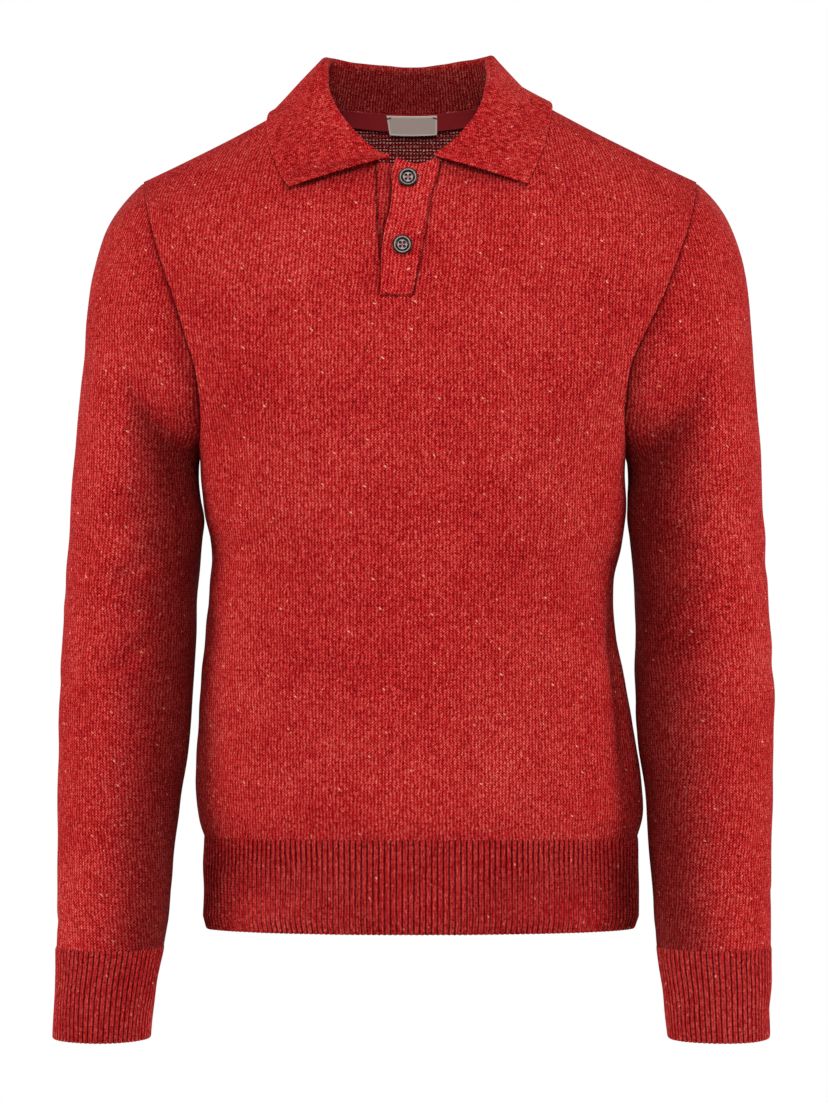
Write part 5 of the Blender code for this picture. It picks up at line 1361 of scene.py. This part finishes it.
def make_label():
    """The bare woven label, a little crowned, and a little narrower at its foot on the wearer's right."""
    lengths = np.linspace(1.3 * MM, LABEL_SIZE[1], 20)
    fine = np.linspace(-0.9, 0.9, 721)
    behind = TAPE_GAP + TAPE_THICK + SEAM_GAP
    x = inside_strip(fine, lengths, behind, LABEL_THICK)[0][..., 0]
    half = LABEL_SIZE[0] / 2
    start = LABEL_MIDDLE - half + np.linspace(0, LABEL_LEAN, 20)
    wanted = start[:, None] + (LABEL_MIDDLE + half - start)[:, None] * np.linspace(0, 1, 44)
    places = np.array([np.interp(row, line, fine) for row, line in zip(wanted, x)])
    near, far = inside_strip(places, lengths, behind, LABEL_THICK)
    crown = np.sin(np.linspace(0, math.pi, 44)) * 0.5 * MM
    lean = unit(far - near) * crown[None, :, None]
    maps = np.stack(np.meshgrid(np.linspace(0, 1, 44), np.linspace(0, 1, 20)), -1)
    return add_strip("label_cloth", near, far + lean, maps)


# ---------------------------------------------------------------- buttons


def band_frame(across, height):
    """A place on the upper band and its two directions along the cloth and one out of it."""
    grid = placket_grids()[0][0]
    apart = (grid[..., 0] - across) ** 2 + (grid[..., 2] - height) ** 2
    i, j = np.unravel_index(apart.argmin(), apart.shape)
    patch = grid[max(i - 4, 0) : i + 5, max(j - 4, 0) : j + 5]
    out = unit(grid_normals(patch, -1).reshape(-1, 3).mean(0))
    side = unit(np.cross([0, 0, 1], -out)) * -1
    centre = grid[i, j] + np.array([across - grid[i, j, 0], 0, height - grid[i, j, 2]])
    return centre, side, np.cross(out, side), out


def turned_grid(frame, across, up, out):
    """Points from a place and its directions, and how far they lie along each of them."""
    place, side, over, normal = frame
    return place + across[..., None] * side + up[..., None] * over + out[..., None] * normal


# A button's turned outline, from the middle of its face over the rim to the middle of its back, as shares of
# its radius and its thickness.
HORN = {
    "reach": (*np.arange(9) * 0.05, 0.46, 0.52, 0.58, 0.64, 0.70, 0.76, 0.82, 0.87, 0.91, 0.95, 0.98, 1.0)
    + (1.0, 0.985, 0.95, 0.88, 0.70, 0.40, 0.0),
    "high": (0.55,) * 9 + (0.56, 0.58, 0.63, 0.72, 0.83, 0.92, 0.98, 1.0, 0.98, 0.92, 0.83, 0.70)
    + (0.45, 0.28, 0.12, 0.02, 0.0, 0.0, 0.0),
}


def make_button(name, frame, radius):
    """A turned horn button: a dished face inside a round rim, with four round holes sunk in the dish."""
    knots = np.arange(len(HORN["reach"]))
    fine = np.linspace(0, len(knots) - 1, 95)
    turn = np.linspace(0, 2 * math.pi, 121)
    r = np.interp(fine, knots, HORN["reach"])[:, None] * radius + 0 * turn
    z = np.interp(fine, knots, HORN["high"])[:, None] * BUTTON_THICK + 0 * turn
    x, y = r * np.cos(turn), r * np.sin(turn)
    top = (fine < 13)[:, None]
    for k in range(4):
        angle = math.pi / 4 + k * math.pi / 2
        reach = BUTTON_HOLE_PITCH * math.sqrt(2)
        apart = np.hypot(x - reach * math.cos(angle), y - reach * math.sin(angle))
        sunk = 1 - held((apart - 0.75 * BUTTON_HOLE) / (0.35 * BUTTON_HOLE))
        z = np.where(top, z - eased(sunk) * 1.1 * MM, z)
    points = turned_grid(frame, x, y, z + SEAM_GAP)
    maps = np.stack([x / radius, y / radius], -1).reshape(-1, 2)
    faces = grid_faces(*points.shape[:2])
    return add_mesh(name, points.reshape(-1, 3), faces, maps, r.reshape(-1), np.zeros(len(faces)))


def make_thread(name, frame):
    """The yarn through a button's holes: two arched strands that cross, each a bent tube."""
    s = np.linspace(-1, 1, 25)[:, None]
    turn = np.linspace(0, 2 * math.pi, 13)[None, :]
    strands = []
    for cross in (-1, 1):
        run = s * BUTTON_HOLE_PITCH * 0.68
        beside = THREAD_RADIUS * np.cos(turn) * math.sqrt(0.5)
        x, y = run + beside, cross * (run - beside)
        arch = BUTTON_THICK * 0.55 + (0.30 + 0.12 * cross) * MM * (1 - s**2) - 0.9 * MM * np.abs(s) ** 6
        strands.append(turned_grid(frame, x, y, arch + THREAD_RADIUS * np.sin(turn) + SEAM_GAP))
    faces = grid_faces(*strands[0].shape[:2])
    count = strands[0].shape[0] * strands[0].shape[1]
    points = np.concatenate([g.reshape(-1, 3) for g in strands])
    faces = np.concatenate([faces + k * count for k in range(len(strands))])
    maps = np.zeros((len(points), 2))
    return add_mesh(name, points, faces, maps, np.full(len(points), NO_SEAM), np.zeros(len(faces)))


# ---------------------------------------------------------------- materials


def fill(made, inputs):
    """Sets a node's inputs to values, or links them to other nodes' outputs."""
    for name, value in dict(inputs).items():
        if isinstance(value, bpy.types.NodeSocket):
            made.id_data.links.new(value, made.inputs[name])
        else:
            made.inputs[name].default_value = value


def node(tree, kind, inputs=(), stops=(), **settings):
    """Adds a node with its settings, its inputs and a ramp's (place, colour) stops, and gives its first output."""
    made = tree.nodes.new("ShaderNode" + kind)
    for name, value in settings.items():
        setattr(made, name, value)
    for _ in stops[2:]:
        made.color_ramp.elements.new(0.5)
    for k, (place, colour) in enumerate(stops):
        made.color_ramp.elements[k].position = place
        made.color_ramp.elements[k].color = colour
    fill(made, inputs)
    return made.outputs[0]


def fresh_material(name):
    """A material, a call that adds nodes to it, and its Principled shader."""
    material = bpy.data.materials.new(name)
    material.use_nodes = True
    return material, functools.partial(node, material.node_tree), material.node_tree.nodes["Principled BSDF"]


def toned(colour, share=1.0):
    """A colour made darker or lighter, with alpha."""
    return (*[c * share for c in colour[:3]], 1.0)


FLECKS = (  # spacing, reach, amount, strength, lean, and the colours along a ramp
    (6.0, 0.50, 0.55, 0.60, 0.5, ((0.0, "#4a0409"), (0.35, "#6c0d14"), (0.45, "#e25a4c"), (1.0, "#ea7864"))),
    (10.0, 0.56, 0.60, 0.80, -0.6, ((0.0, "#ec7454"), (0.4, "#ea6c58"), (0.8, "#f09074"), (1.0, "#ee8454"))),
    (24.0, 0.70, 0.75, 0.85, 0.9, ((0.0, "#f2a080"), (0.6, "#f5bca4"), (1.0, "#ef985f"))),
)


def wool(name, reds, columns, relief, reverse=False, ribbed=False, fall=False):
    """Lambswool jersey: columns of V-shaped stitches in a mottled yarn, with paler and darker flecks.

    A wale is 2.8 mm and a course 2.15 mm, so a stitch is two or three pixels of the photograph and shows as a
    grain in upright lines, with a dark gap from one column to the next. Each leg of a stitch has its own shade,
    as mottled yarn has. The wool is matt, with a faint bloom where loose fibres catch the light from the side.
    On a rib, painted shade makes the grooves between the crests nearly black. On the collar's fall the
    columns are lost in a pebbled grain. Where other cloth faces it from close by, shade is painted into its
    colour.
    """
    material, add, shader = fresh_material(name)
    place = add("TexCoord").node.outputs["Object"]
    counts = add("UVMap", uv_map="stitch")
    wander = add("TexNoise", {"Vector": place, "Scale": 150.0, "Detail": 2.0}).node.outputs["Color"]
    centred = add("VectorMath", {0: wander, 1: (0.5, 0.5, 0.5)}, operation="SUBTRACT")
    shift = add("VectorMath", {0: centred, 3: 0.9}, operation="SCALE")
    moved = add("VectorMath", {0: counts, 1: shift}, operation="ADD")
    split = add("SeparateXYZ", {0: moved}).node
    u, v = split.outputs[0], split.outputs[1]
    half = add("Math", {0: u, 1: 0.5}, operation="PINGPONG")
    slant = add("Math", {0: half, 1: 0.7 if reverse else 1.6}, operation="MULTIPLY")
    phase = add("Math", {0: v, 1: slant}, operation="SUBTRACT")
    turn = add("Math", {0: phase, 1: math.pi}, operation="MULTIPLY")
    wave = add("Math", {0: turn}, operation="SINE")
    loop = add("Math", {0: wave}, operation="ABSOLUTE")
    side = add("Math", {0: u, 1: 2 * math.pi}, operation="MULTIPLY")
    column = add("Math", {0: side}, operation="COSINE")
    legs = add("VectorMath", {0: moved, 1: (2.0, 1.0, 0.0)}, operation="MULTIPLY")
    cell = add("VectorMath", {0: legs}, operation="FLOOR")
    own = add("TexWhiteNoise", {"Vector": cell}, noise_dimensions="2D")
    fibre = add("TexNoise", {"Vector": place, "Scale": 560.0, "Detail": 2.0, "Roughness": 0.65})
    broad = add("TexNoise", {"Vector": place, "Scale": 16.0, "Detail": 2.0})
    lines = add("Math", {0: column, 1: -0.5 * columns}, operation="MULTIPLY")
    if fall:
        down = add("SeparateXYZ", {0: counts}).node.outputs[1]
        clear = add("MapRange", {0: down, 1: -4.0, 2: -0.5, 3: 1.0, 4: 0.15})
        lines = add("Math", {0: lines, 1: clear}, operation="MULTIPLY")
    tone = add("Math", {0: lines, 1: 0.5}, operation="ADD")
    grain = 1.2 if fall else 1.0
    parts = (loop, 0.26, 0.64), (own, 0.26, 0.5), (fibre, 0.62, 0.5), (broad, 0.22, 0.5)
    for value, share, middle in parts:
        low = add("Math", {0: value, 1: middle}, operation="SUBTRACT")
        tone = add("Math", {0: low, 1: share * grain, 2: tone}, operation="MULTIPLY_ADD")
    red = add("ValToRGB", {"Fac": tone}, tuple(zip((0.10, 0.30, 0.50, 0.70, 0.92), reds)))
    metres = add("VectorMath", {0: moved, 1: (WALE / MM, COURSE / MM, 0)}, operation="MULTIPLY")
    for size, reach, amount, strength, lean, codes in FLECKS:
        drawn = add("Mapping", {0: metres, 2: (0.0, 0.0, lean), 3: (1.0, 2.2, 1.0)}, vector_type="TEXTURE")
        cells = add("TexVoronoi", {"Vector": drawn, "Scale": 1 / size}, voronoi_dimensions="2D").node
        apart = cells.outputs["Distance"]
        spot = add("MapRange", {0: apart, 1: reach / size, 2: reach * 0.5 / size, 3: 0.0, 4: strength})
        tint = add("SeparateColor", {0: cells.outputs["Color"]}).node
        chosen = add("Math", {0: tint.outputs[0], 1: amount}, operation="LESS_THAN")
        cover = add("Math", {0: spot, 1: chosen}, operation="MULTIPLY")
        colours = tuple((at, linear(code)) for at, code in codes)
        shade = add("ValToRGB", {"Fac": tint.outputs[1]}, colours)
        red = add("Mix", {0: cover, 6: red, 7: shade}, data_type="RGBA").node.outputs[2]
    if reverse:
        row = add("Math", {0: v, 1: 2 * math.pi * 0.72}, operation="MULTIPLY")
        high = add("Math", {0: row}, operation="COSINE")
        both = add("Math", {0: column, 1: 1.1, 2: high}, operation="MULTIPLY_ADD")
        uneven = add("Math", {0: fibre, 1: 3.4, 2: -1.7}, operation="MULTIPLY_ADD")
        grid = add("Math", {0: both, 1: uneven}, operation="ADD")
        dots = add("MapRange", {0: grid, 1: 0.55, 2: 1.55, 3: 0.0, 4: 0.9})
        red = add("Mix", {0: dots, 6: red, 7: linear("#f0bdb8")}, data_type="RGBA").node.outputs[2]
    near = add("Attribute", attribute_name="seam", attribute_type="GEOMETRY").node.outputs["Fac"]
    seam_line_and_painted_shade = add("MapRange", {0: near, 1: 0.15 * MM, 2: 1.1 * MM, 3: 0.30, 4: 1.0})
    # Painted shade: the rib's grooves are darkened to nearly black, as if in shadow.
    if ribbed:
        straight = add("SeparateXYZ", {0: counts}).node.outputs[0]
        rib_turn = add("Math", {0: straight, 1: math.pi / 2}, operation="MULTIPLY")
        rib_wave = add("Math", {0: rib_turn}, operation="SINE")
        crest = add("Math", {0: rib_wave}, operation="ABSOLUTE")
        groove_painted_shade = add("MapRange", {0: crest, 1: 0.2, 2: 0.85, 3: 0.30, 4: 1.0})
        seam_line_and_painted_shade = add("Math", {0: seam_line_and_painted_shade, 1: groove_painted_shade}, operation="MULTIPLY")
    # Painted shade, darkening the colour where other cloth lies close by.
    painted_shade_level = add("Attribute", attribute_name="shelter", attribute_type="GEOMETRY").node.outputs["Fac"]
    painted_shade_factor = add("MapRange", {0: painted_shade_level, 1: 0.0, 2: 1.0, 3: 1.0, 4: 0.42})
    seam_line_and_painted_shade = add("Math", {0: seam_line_and_painted_shade, 1: painted_shade_factor}, operation="MULTIPLY")
    final = add("VectorMath", {0: red, 3: seam_line_and_painted_shade}, operation="SCALE")
    raised = add("Math", {0: column, 1: -0.45, 2: loop}, operation="MULTIPLY_ADD")
    rough = add("Math", {0: fibre, 1: 0.8, 2: raised}, operation="MULTIPLY_ADD")
    bump = add("Bump", {"Height": rough, "Strength": 1.0, "Distance": relief * MM})
    bloom = {"Sheen Weight": 0.05, "Sheen Roughness": 0.30, "Sheen Tint": linear("#e8705c")}
    fill(shader, {"Base Color": final, "Normal": bump, "Roughness": 0.96, "Specular IOR Level": 0.06, **bloom})
    return material


@functools.lru_cache(maxsize=None)
def yarn_materials():
    """The garment's wool in its five knits: plain, rib, collar, opening and the reverse seen inside. The
    collar's and the opening's reds are painted a tenth lighter, as painted light.
    """
    yarn = bpy.context.scene.sweater_yarn

    def reds(share):
        return [toned(colour, share) for colour in (yarn.gap, yarn.dark, yarn.mid, yarn.light, yarn.tip)]

    return {
        "plain": wool("lambswool jersey", reds(1.0), 0.25, 0.55),
        "rib": wool("lambswool rib", reds(yarn.rib_share), 0.16, 0.5, ribbed=True),
        # Painted light: the collar and the opening are the same reds made a tenth lighter.
        "collar": wool("lambswool collar knit", reds(1.10), 0.34, 0.55, fall=True),
        "band": wool("lambswool jersey, band", reds(1.10), 0.25, 0.55),
        "reverse": wool("lambswool jersey, reverse side", reds(0.62), 0.2, 0.6, reverse=True),
    }


@functools.lru_cache(maxsize=None)
def horn():
    """Polished horn: nearly black with warm streaks, greyer in the dish, with a painted highlight as a pale ring
    inside the turned rim and painted shade in its four holes.
    """
    trim = bpy.context.scene.sweater_trim
    material, add, shader = fresh_material("polished dark horn")
    place = add("TexCoord").node.outputs["Object"]
    reach = add("Attribute", attribute_name="seam", attribute_type="GEOMETRY").node.outputs["Fac"]
    share = add("Math", {0: reach, 1: BUTTON_RADIUS}, operation="DIVIDE")
    drawn = add("Mapping", {0: place, 3: (1.0, 1.0, 3.2)})
    streak = add("TexNoise", {"Vector": drawn, "Scale": 260.0, "Detail": 4.0, "Distortion": 0.6})
    mixed = add("Math", {0: streak, 1: 0.08, 2: share}, operation="MULTIPLY_ADD")
    dark, dish, rim = (toned(c) for c in (trim.horn_dark, trim.horn_dish, trim.horn_rim_highlight))
    # The pale ring inside the rim is a painted highlight on its bevel.
    rings = (0.10, dish), (0.50, dish), (0.57, dark), (0.75, dark), (0.80, rim), (0.84, rim), (0.88, dark)
    colour = add("ValToRGB", {"Fac": mixed}, rings)
    spread = add("VectorMath", {0: add("UVMap", uv_map="stitch")}, operation="ABSOLUTE")
    pitch = BUTTON_HOLE_PITCH / BUTTON_RADIUS
    apart = add("VectorMath", {0: spread, 1: (pitch, pitch, 0.0)}, operation="DISTANCE").node.outputs["Value"]
    # Painted shade: the four holes are darkened to near black.
    hole_painted_shade = add("MapRange", {0: apart, 1: 0.145, 2: 0.19, 3: 1.0, 4: 0.0})
    colour = add("Mix", {0: hole_painted_shade, 6: colour, 7: linear("#060304")}, data_type="RGBA").node.outputs[2]
    bump = add("Bump", {"Height": streak, "Strength": 0.25, "Distance": 0.08 * MM})
    polish = {"Roughness": 0.38, "IOR": 1.54, "Specular IOR Level": 0.2}
    fill(shader, {"Base Color": colour, "Normal": bump, **polish})
    return material


@functools.lru_cache(maxsize=None)
def thread():
    """Red buttonhole yarn: three twisted plies, which show as slanted bands 0.5 mm apart."""
    material, add, shader = fresh_material("buttonhole yarn")
    place = add("TexCoord").node.outputs["Object"]
    ply = add("TexWave", {"Vector": place, "Scale": 320.0, "Distortion": 1.5}, bands_direction="DIAGONAL")
    reds = (0.0, linear("#5e0a10")), (0.6, linear("#b52c33")), (1.0, linear("#d9686a"))
    colour = add("ValToRGB", {"Fac": ply}, reds)
    bump = add("Bump", {"Height": ply, "Strength": 0.6, "Distance": 0.2 * MM})
    fill(shader, {"Base Color": colour, "Normal": bump, "Roughness": 0.8, "Sheen Weight": 0.2})
    return material


@functools.lru_cache(maxsize=None)
def tape():
    """Herringbone neck tape in dark red cotton, its slanted ribs 1 mm apart."""
    trim = bpy.context.scene.sweater_trim
    material, add, shader = fresh_material("herringbone cotton tape")
    counts = add("UVMap", uv_map="stitch")
    split = add("SeparateXYZ", {0: counts}).node
    back = add("Math", {0: split.outputs[1], 1: 4.0}, operation="PINGPONG")
    slant = add("Math", {0: split.outputs[0], 1: back}, operation="ADD")
    turn = add("Math", {0: slant, 1: 2 * math.pi}, operation="MULTIPLY")
    rib = add("Math", {0: turn}, operation="SINE")
    grain = add("TexNoise", {"Vector": counts, "Scale": 3.0, "Detail": 3.0})
    tone = add("Math", {0: rib, 1: 0.22, 2: grain}, operation="MULTIPLY_ADD")
    shade = add("ValToRGB", {"Fac": tone}, ((0.25, toned(trim.tape, 0.55)), (0.75, toned(trim.tape))))
    bump = add("Bump", {"Height": tone, "Strength": 0.7, "Distance": 0.25 * MM})
    fill(shader, {"Base Color": shade, "Normal": bump, "Roughness": 0.85})
    return material


@functools.lru_cache(maxsize=None)
def label_cloth():
    """Bare taffeta label: beige threads 0.35 mm apart, drawn at 0.7 mm, a pale edge and two dark tacks on top."""
    trim = bpy.context.scene.sweater_trim
    material, add, shader = fresh_material("woven taffeta label")
    counts = add("UVMap", uv_map="stitch")
    split = add("SeparateXYZ", {0: counts}).node
    waves, inset = [], []
    for way, threads, size in zip(split.outputs, (59, 25), LABEL_SIZE):
        turn = add("Math", {0: way, 1: 2 * math.pi * threads}, operation="MULTIPLY")
        waves.append(add("Math", {0: turn}, operation="SINE"))
        near = add("Math", {0: way, 1: 0.5}, operation="PINGPONG")
        inset.append(add("Math", {0: near, 1: size / MM}, operation="MULTIPLY"))
    weave = add("Math", {0: waves[0], 1: waves[1]}, operation="MULTIPLY")
    wide, tall = inset
    cloth = add("ValToRGB", {"Fac": weave}, ((0.0, toned(trim.label, 0.72)), (0.6, toned(trim.label))))
    rim = add("Math", {0: wide, 1: tall}, operation="MINIMUM")
    edge = add("MapRange", {0: rim, 1: 1.2, 2: 1.6, 3: 1.0, 4: 0.0})
    cloth = add("Mix", {0: edge, 6: cloth, 7: linear("#fdf0e6")}, data_type="RGBA").node.outputs[2]
    lean = add("Math", {0: wide, 1: -0.35, 2: 2.9}, operation="MULTIPLY_ADD")
    down = add("Math", {0: split.outputs[1], 1: LABEL_SIZE[1] / MM}, operation="MULTIPLY")
    apart = add("Math", {0: down, 1: lean}, operation="SUBTRACT")
    off = add("Math", {0: apart}, operation="ABSOLUTE")
    line = add("Math", {0: off, 1: 0.6}, operation="LESS_THAN")
    corner = add("Math", {0: wide, 1: 3.4}, operation="LESS_THAN")
    tack = add("Math", {0: line, 1: corner}, operation="MULTIPLY")
    mixed = add("Mix", {0: tack, 6: cloth, 7: linear("#120809")}, data_type="RGBA").node
    bump = add("Bump", {"Height": weave, "Strength": 0.4, "Distance": 0.12 * MM})
    fill(shader, {"Base Color": mixed.outputs[2], "Normal": bump, "Roughness": 0.7})
    return material


def paper():
    """Matt white studio paper, with a faint mottle."""
    material, add, shader = fresh_material("studio paper")
    place = add("TexCoord").node.outputs["Object"]
    mottle = add("TexNoise", {"Vector": place, "Scale": 6.0, "Detail": 2.0})
    shade = add("ValToRGB", {"Fac": mottle}, ((0.3, linear("#f1f0ef")), (0.7, linear("#fbfbfa"))))
    fill(shader, {"Base Color": shade, "Roughness": 0.9})
    return material


# ---------------------------------------------------------------- sizes and colours that a user would change


def colour_property(name, description, code):
    """A colour setting from an sRGB hex code."""
    default = linear(code)[:3]
    return FloatVectorProperty(
        name=name, description=description, default=default, subtype="COLOR", size=3, min=0.0, max=1.0
    )


class SweaterYarn(bpy.types.PropertyGroup):
    """The wool's colours."""

    gap: colour_property("Gaps", "Colour between the stitches", "#480208")
    dark: colour_property("Dark yarn", "The yarn's shaded fibres", "#900910")
    mid: colour_property("Yarn", "The yarn's main red", "#bb1b1f")
    light: colour_property("Light yarn", "The yarn's lit fibres", "#d0443f")
    tip: colour_property("Fibre tips", "The palest loose fibres", "#f08274")
    rib_share: FloatProperty(
        name="Rib brightness", description="How bright the ribs' yarn is beside the plain knit", default=0.98,
        min=0.3, max=1.5,
    )


class SweaterTrim(bpy.types.PropertyGroup):
    """The buttons, tape and label."""

    button_radius: FloatProperty(
        name="Button radius", description="Half a button's width", default=BUTTON_RADIUS, min=0.005, max=0.0085,
        subtype="DISTANCE", unit="LENGTH",
    )
    horn_dark: colour_property("Horn", "The buttons' dark rim", "#080405")
    horn_dish: colour_property("Horn dish", "The buttons' paler middle", "#a88f8d")
    # The colour of the painted highlight inside each button's rim.
    horn_rim_highlight: colour_property("Horn edge", "The painted highlight inside a button's rim", "#a8948f")
    tape: colour_property("Neck tape", "The tape over the back neck seam", "#bc1c26")
    label: colour_property("Label", "The bare label's cloth", "#fae4d8")


def power_property(name, description, watts):
    """A setting for the power of a light."""
    return FloatProperty(name=name, description=description, default=watts, unit="POWER")


class SweaterStudio(bpy.types.PropertyGroup):
    """The studio's light."""

    front_power: power_property("Front light", "The soft box above the camera", 57.0)
    side_power: power_property("Side light", "Each side soft box", 62.0)
    top_power: power_property("Top light", "The overhead soft box", 4.0)
    back_power: power_property("Back light", "Each soft box behind", 26.0)
    ambient: FloatProperty(name="Ambient", description="Light from all round", default=0.08, min=0.0, max=2.0)


# ---------------------------------------------------------------- operators

FLOOR_HEIGHT = -1.55
FLOOR_RADIUS = 3.2
AIM = (0, 0, -0.35)  # where all lights point
LIGHTS = (  # name, place, size and the setting that holds its power
    ("front", (0.0, -2.5, 1.6), 1.3, "front_power"),
    ("side_left", (-2.8, -1.0, -0.1), 1.4, "side_power"),
    ("side_right", (2.8, -1.0, -0.1), 1.4, "side_power"),
    ("top", (0.0, -0.3, 2.3), 1.4, "top_power"),
    ("back_left", (-1.4, 2.8, 0.7), 1.3, "back_power"),
    ("back_right", (1.4, 2.8, 0.7), 1.3, "back_power"),
)
CAMERA_PLACE = (0, -3.0, -0.3653)
SENSOR_HEIGHT = 24
FOCAL_SHARE = 3720 / 1102  # the focal length as a share of the picture's height


class SWEATER_OT_body(bpy.types.Operator):
    """Makes the front and the back"""

    bl_idname = "sweater.body"
    bl_label = "Front and back"

    def execute(self, context):
        knit = yarn_materials()
        sizes = {"front": ((0.43, 0.62), 0.252), "back": ((0.43, 0.66), 0.262)}
        for name, (flat, area) in sizes.items():
            piece = dressed(make_panel(name), (name,), "knit", knit["plain"], knit["reverse"])
        return {"FINISHED"}


class SWEATER_OT_sleeves(bpy.types.Operator):
    """Makes both sleeves"""

    bl_idname = "sweater.sleeves"
    bl_label = "Sleeves"

    def execute(self, context):
        knit = yarn_materials()
        for hand in SLEEVES:
            name = "sleeve_" + hand
            piece = dressed(make_panel(name), (name,), "knit", knit["plain"], knit["reverse"])
        return {"FINISHED"}


class SWEATER_OT_ribs(bpy.types.Operator):
    """Makes the hem rib and both cuffs"""

    bl_idname = "sweater.ribs"
    bl_label = "Hem and cuffs"

    def execute(self, context):
        knit = yarn_materials()
        piece = dressed(make_hem(), ("hem_rib",), "rib", knit["rib"], knit["rib"])
        for hand in SLEEVES:
            piece = dressed(make_cuff(hand), ("cuff_" + hand,), "rib", knit["rib"], knit["rib"])
        return {"FINISHED"}


class SWEATER_OT_collar(bpy.types.Operator):
    """Makes the collar"""

    bl_idname = "sweater.collar"
    bl_label = "Collar"

    def execute(self, context):
        knit = yarn_materials()
        piece = dressed(make_collar(), ("collar",), "knit", knit["collar"], knit["collar"])
        return {"FINISHED"}


class SWEATER_OT_opening(bpy.types.Operator):
    """Makes the two bands of the opening"""

    bl_idname = "sweater.opening"
    bl_label = "Opening"

    def execute(self, context):
        knit = yarn_materials()
        over, under = placket_grids()
        for name, grids, flat in (("over", over, (0.036, 0.118)), ("under", under, (0.028, 0.116))):
            piece = add_strip("band_" + name, *grids[:2], seam=grids[2], shelter=grids[3])
            dressed(piece, ("placket_" + name,), "knit", knit["band"], knit["reverse"])
        return {"FINISHED"}


class SWEATER_OT_neck(bpy.types.Operator):
    """Makes the neck tape and the bare label"""

    bl_idname = "sweater.neck"
    bl_label = "Tape and label"

    def execute(self, context):
        piece = dressed(make_tape(), ("neck_tape",), "tape", tape(), tape())
        piece = dressed(make_label(), ("label",), "label", label_cloth(), label_cloth())
        return {"FINISHED"}


class SWEATER_OT_buttons(bpy.types.Operator):
    """Makes both buttons and their yarn"""

    bl_idname = "sweater.buttons"
    bl_label = "Buttons"

    def execute(self, context):
        radius = context.scene.sweater_trim.button_radius
        for name, (across, height) in BUTTONS.items():
            frame_at = band_frame(across, height)
            dressed(make_button(name + "_horn", frame_at, radius), (name,), "horn", horn())
            dressed(make_thread(name + "_yarn", frame_at), (), "knit", thread())
        return {"FINISHED"}


class SWEATER_OT_stage(bpy.types.Operator):
    """Sets the floor, the lights and the camera"""

    bl_idname = "sweater.stage"
    bl_label = "Stage"

    def execute(self, context):
        studio, scene = context.scene.sweater_studio, context.scene
        turn = np.linspace(0, 2 * math.pi, 97)
        reach = np.linspace(0, FLOOR_RADIUS, 12)[:, None]
        floor = np.stack([reach * np.cos(turn), reach * np.sin(turn), FLOOR_HEIGHT + 0 * reach * turn], -1)
        faces = grid_faces(*floor.shape[:2])
        flat = floor.reshape(-1, 3)
        piece = add_mesh("floor", flat, faces, flat[:, :2], 0 * flat[:, 0], np.zeros(len(faces)))
        piece.data.materials.append(paper())
        for name, place, size, setting in LIGHTS:
            data = bpy.data.lights.new(name, "AREA")
            data.shape = "DISK"
            data.size = size
            data.energy = getattr(studio, setting)
            lamp = bpy.data.objects.new(name, data)
            lamp.location = place
            lamp.rotation_euler = (Vector(AIM) - Vector(place)).to_track_quat("-Z", "Y").to_euler()
            scene.collection.objects.link(lamp)
        world = bpy.data.worlds.new("white studio")
        world.use_nodes = True
        tree = world.node_tree
        ray = node(tree, "LightPath")
        strength = node(tree, "MapRange", {0: ray, 1: 0.0, 2: 1.0, 3: studio.ambient, 4: 1.0})
        fill(tree.nodes["Background"], {"Strength": strength, "Color": (1, 1, 1, 1)})
        scene.world = world
        scene.view_settings.view_transform = "Standard"
        data = bpy.data.cameras.new("camera")
        data.sensor_fit = "VERTICAL"
        data.sensor_height = SENSOR_HEIGHT
        data.lens = SENSOR_HEIGHT * FOCAL_SHARE
        camera = bpy.data.objects.new("camera", data)
        camera.location = CAMERA_PLACE
        camera.rotation_euler = (math.pi / 2, 0, 0)
        scene.collection.objects.link(camera)
        scene.camera = camera
        return {"FINISHED"}


STEPS = ("body", "sleeves", "ribs", "collar", "opening", "neck", "buttons", "stage")


class SWEATER_PT_panel(bpy.types.Panel):
    """Lists the sweater's pieces, sizes and colours"""

    bl_idname = "SWEATER_PT_panel"
    bl_label = "Knitted polo sweater"
    bl_space_type = "VIEW_3D"
    bl_region_type = "UI"
    bl_category = "Sweater"

    def draw(self, context):
        for group in (context.scene.sweater_yarn, context.scene.sweater_trim, context.scene.sweater_studio):
            for name in group.__annotations__:
                self.layout.prop(group, name)
        for step in STEPS:
            self.layout.operator("sweater." + step)


GROUPS = {"sweater_yarn": SweaterYarn, "sweater_trim": SweaterTrim, "sweater_studio": SweaterStudio}
CLASSES = (
    *GROUPS.values(),
    SWEATER_OT_body,
    SWEATER_OT_sleeves,
    SWEATER_OT_ribs,
    SWEATER_OT_collar,
    SWEATER_OT_opening,
    SWEATER_OT_neck,
    SWEATER_OT_buttons,
    SWEATER_OT_stage,
    SWEATER_PT_panel,
)


def register():
    for made in CLASSES:
        bpy.utils.register_class(made)
    for name, group in GROUPS.items():
        setattr(bpy.types.Scene, name, PointerProperty(type=group))


def unregister():
    for name in GROUPS:
        delattr(bpy.types.Scene, name)
    for made in reversed(CLASSES):
        bpy.utils.unregister_class(made)


def main():
    register()
    for step in STEPS:
        getattr(bpy.ops.sweater, step)()


if __name__ == "__main__":
    main()
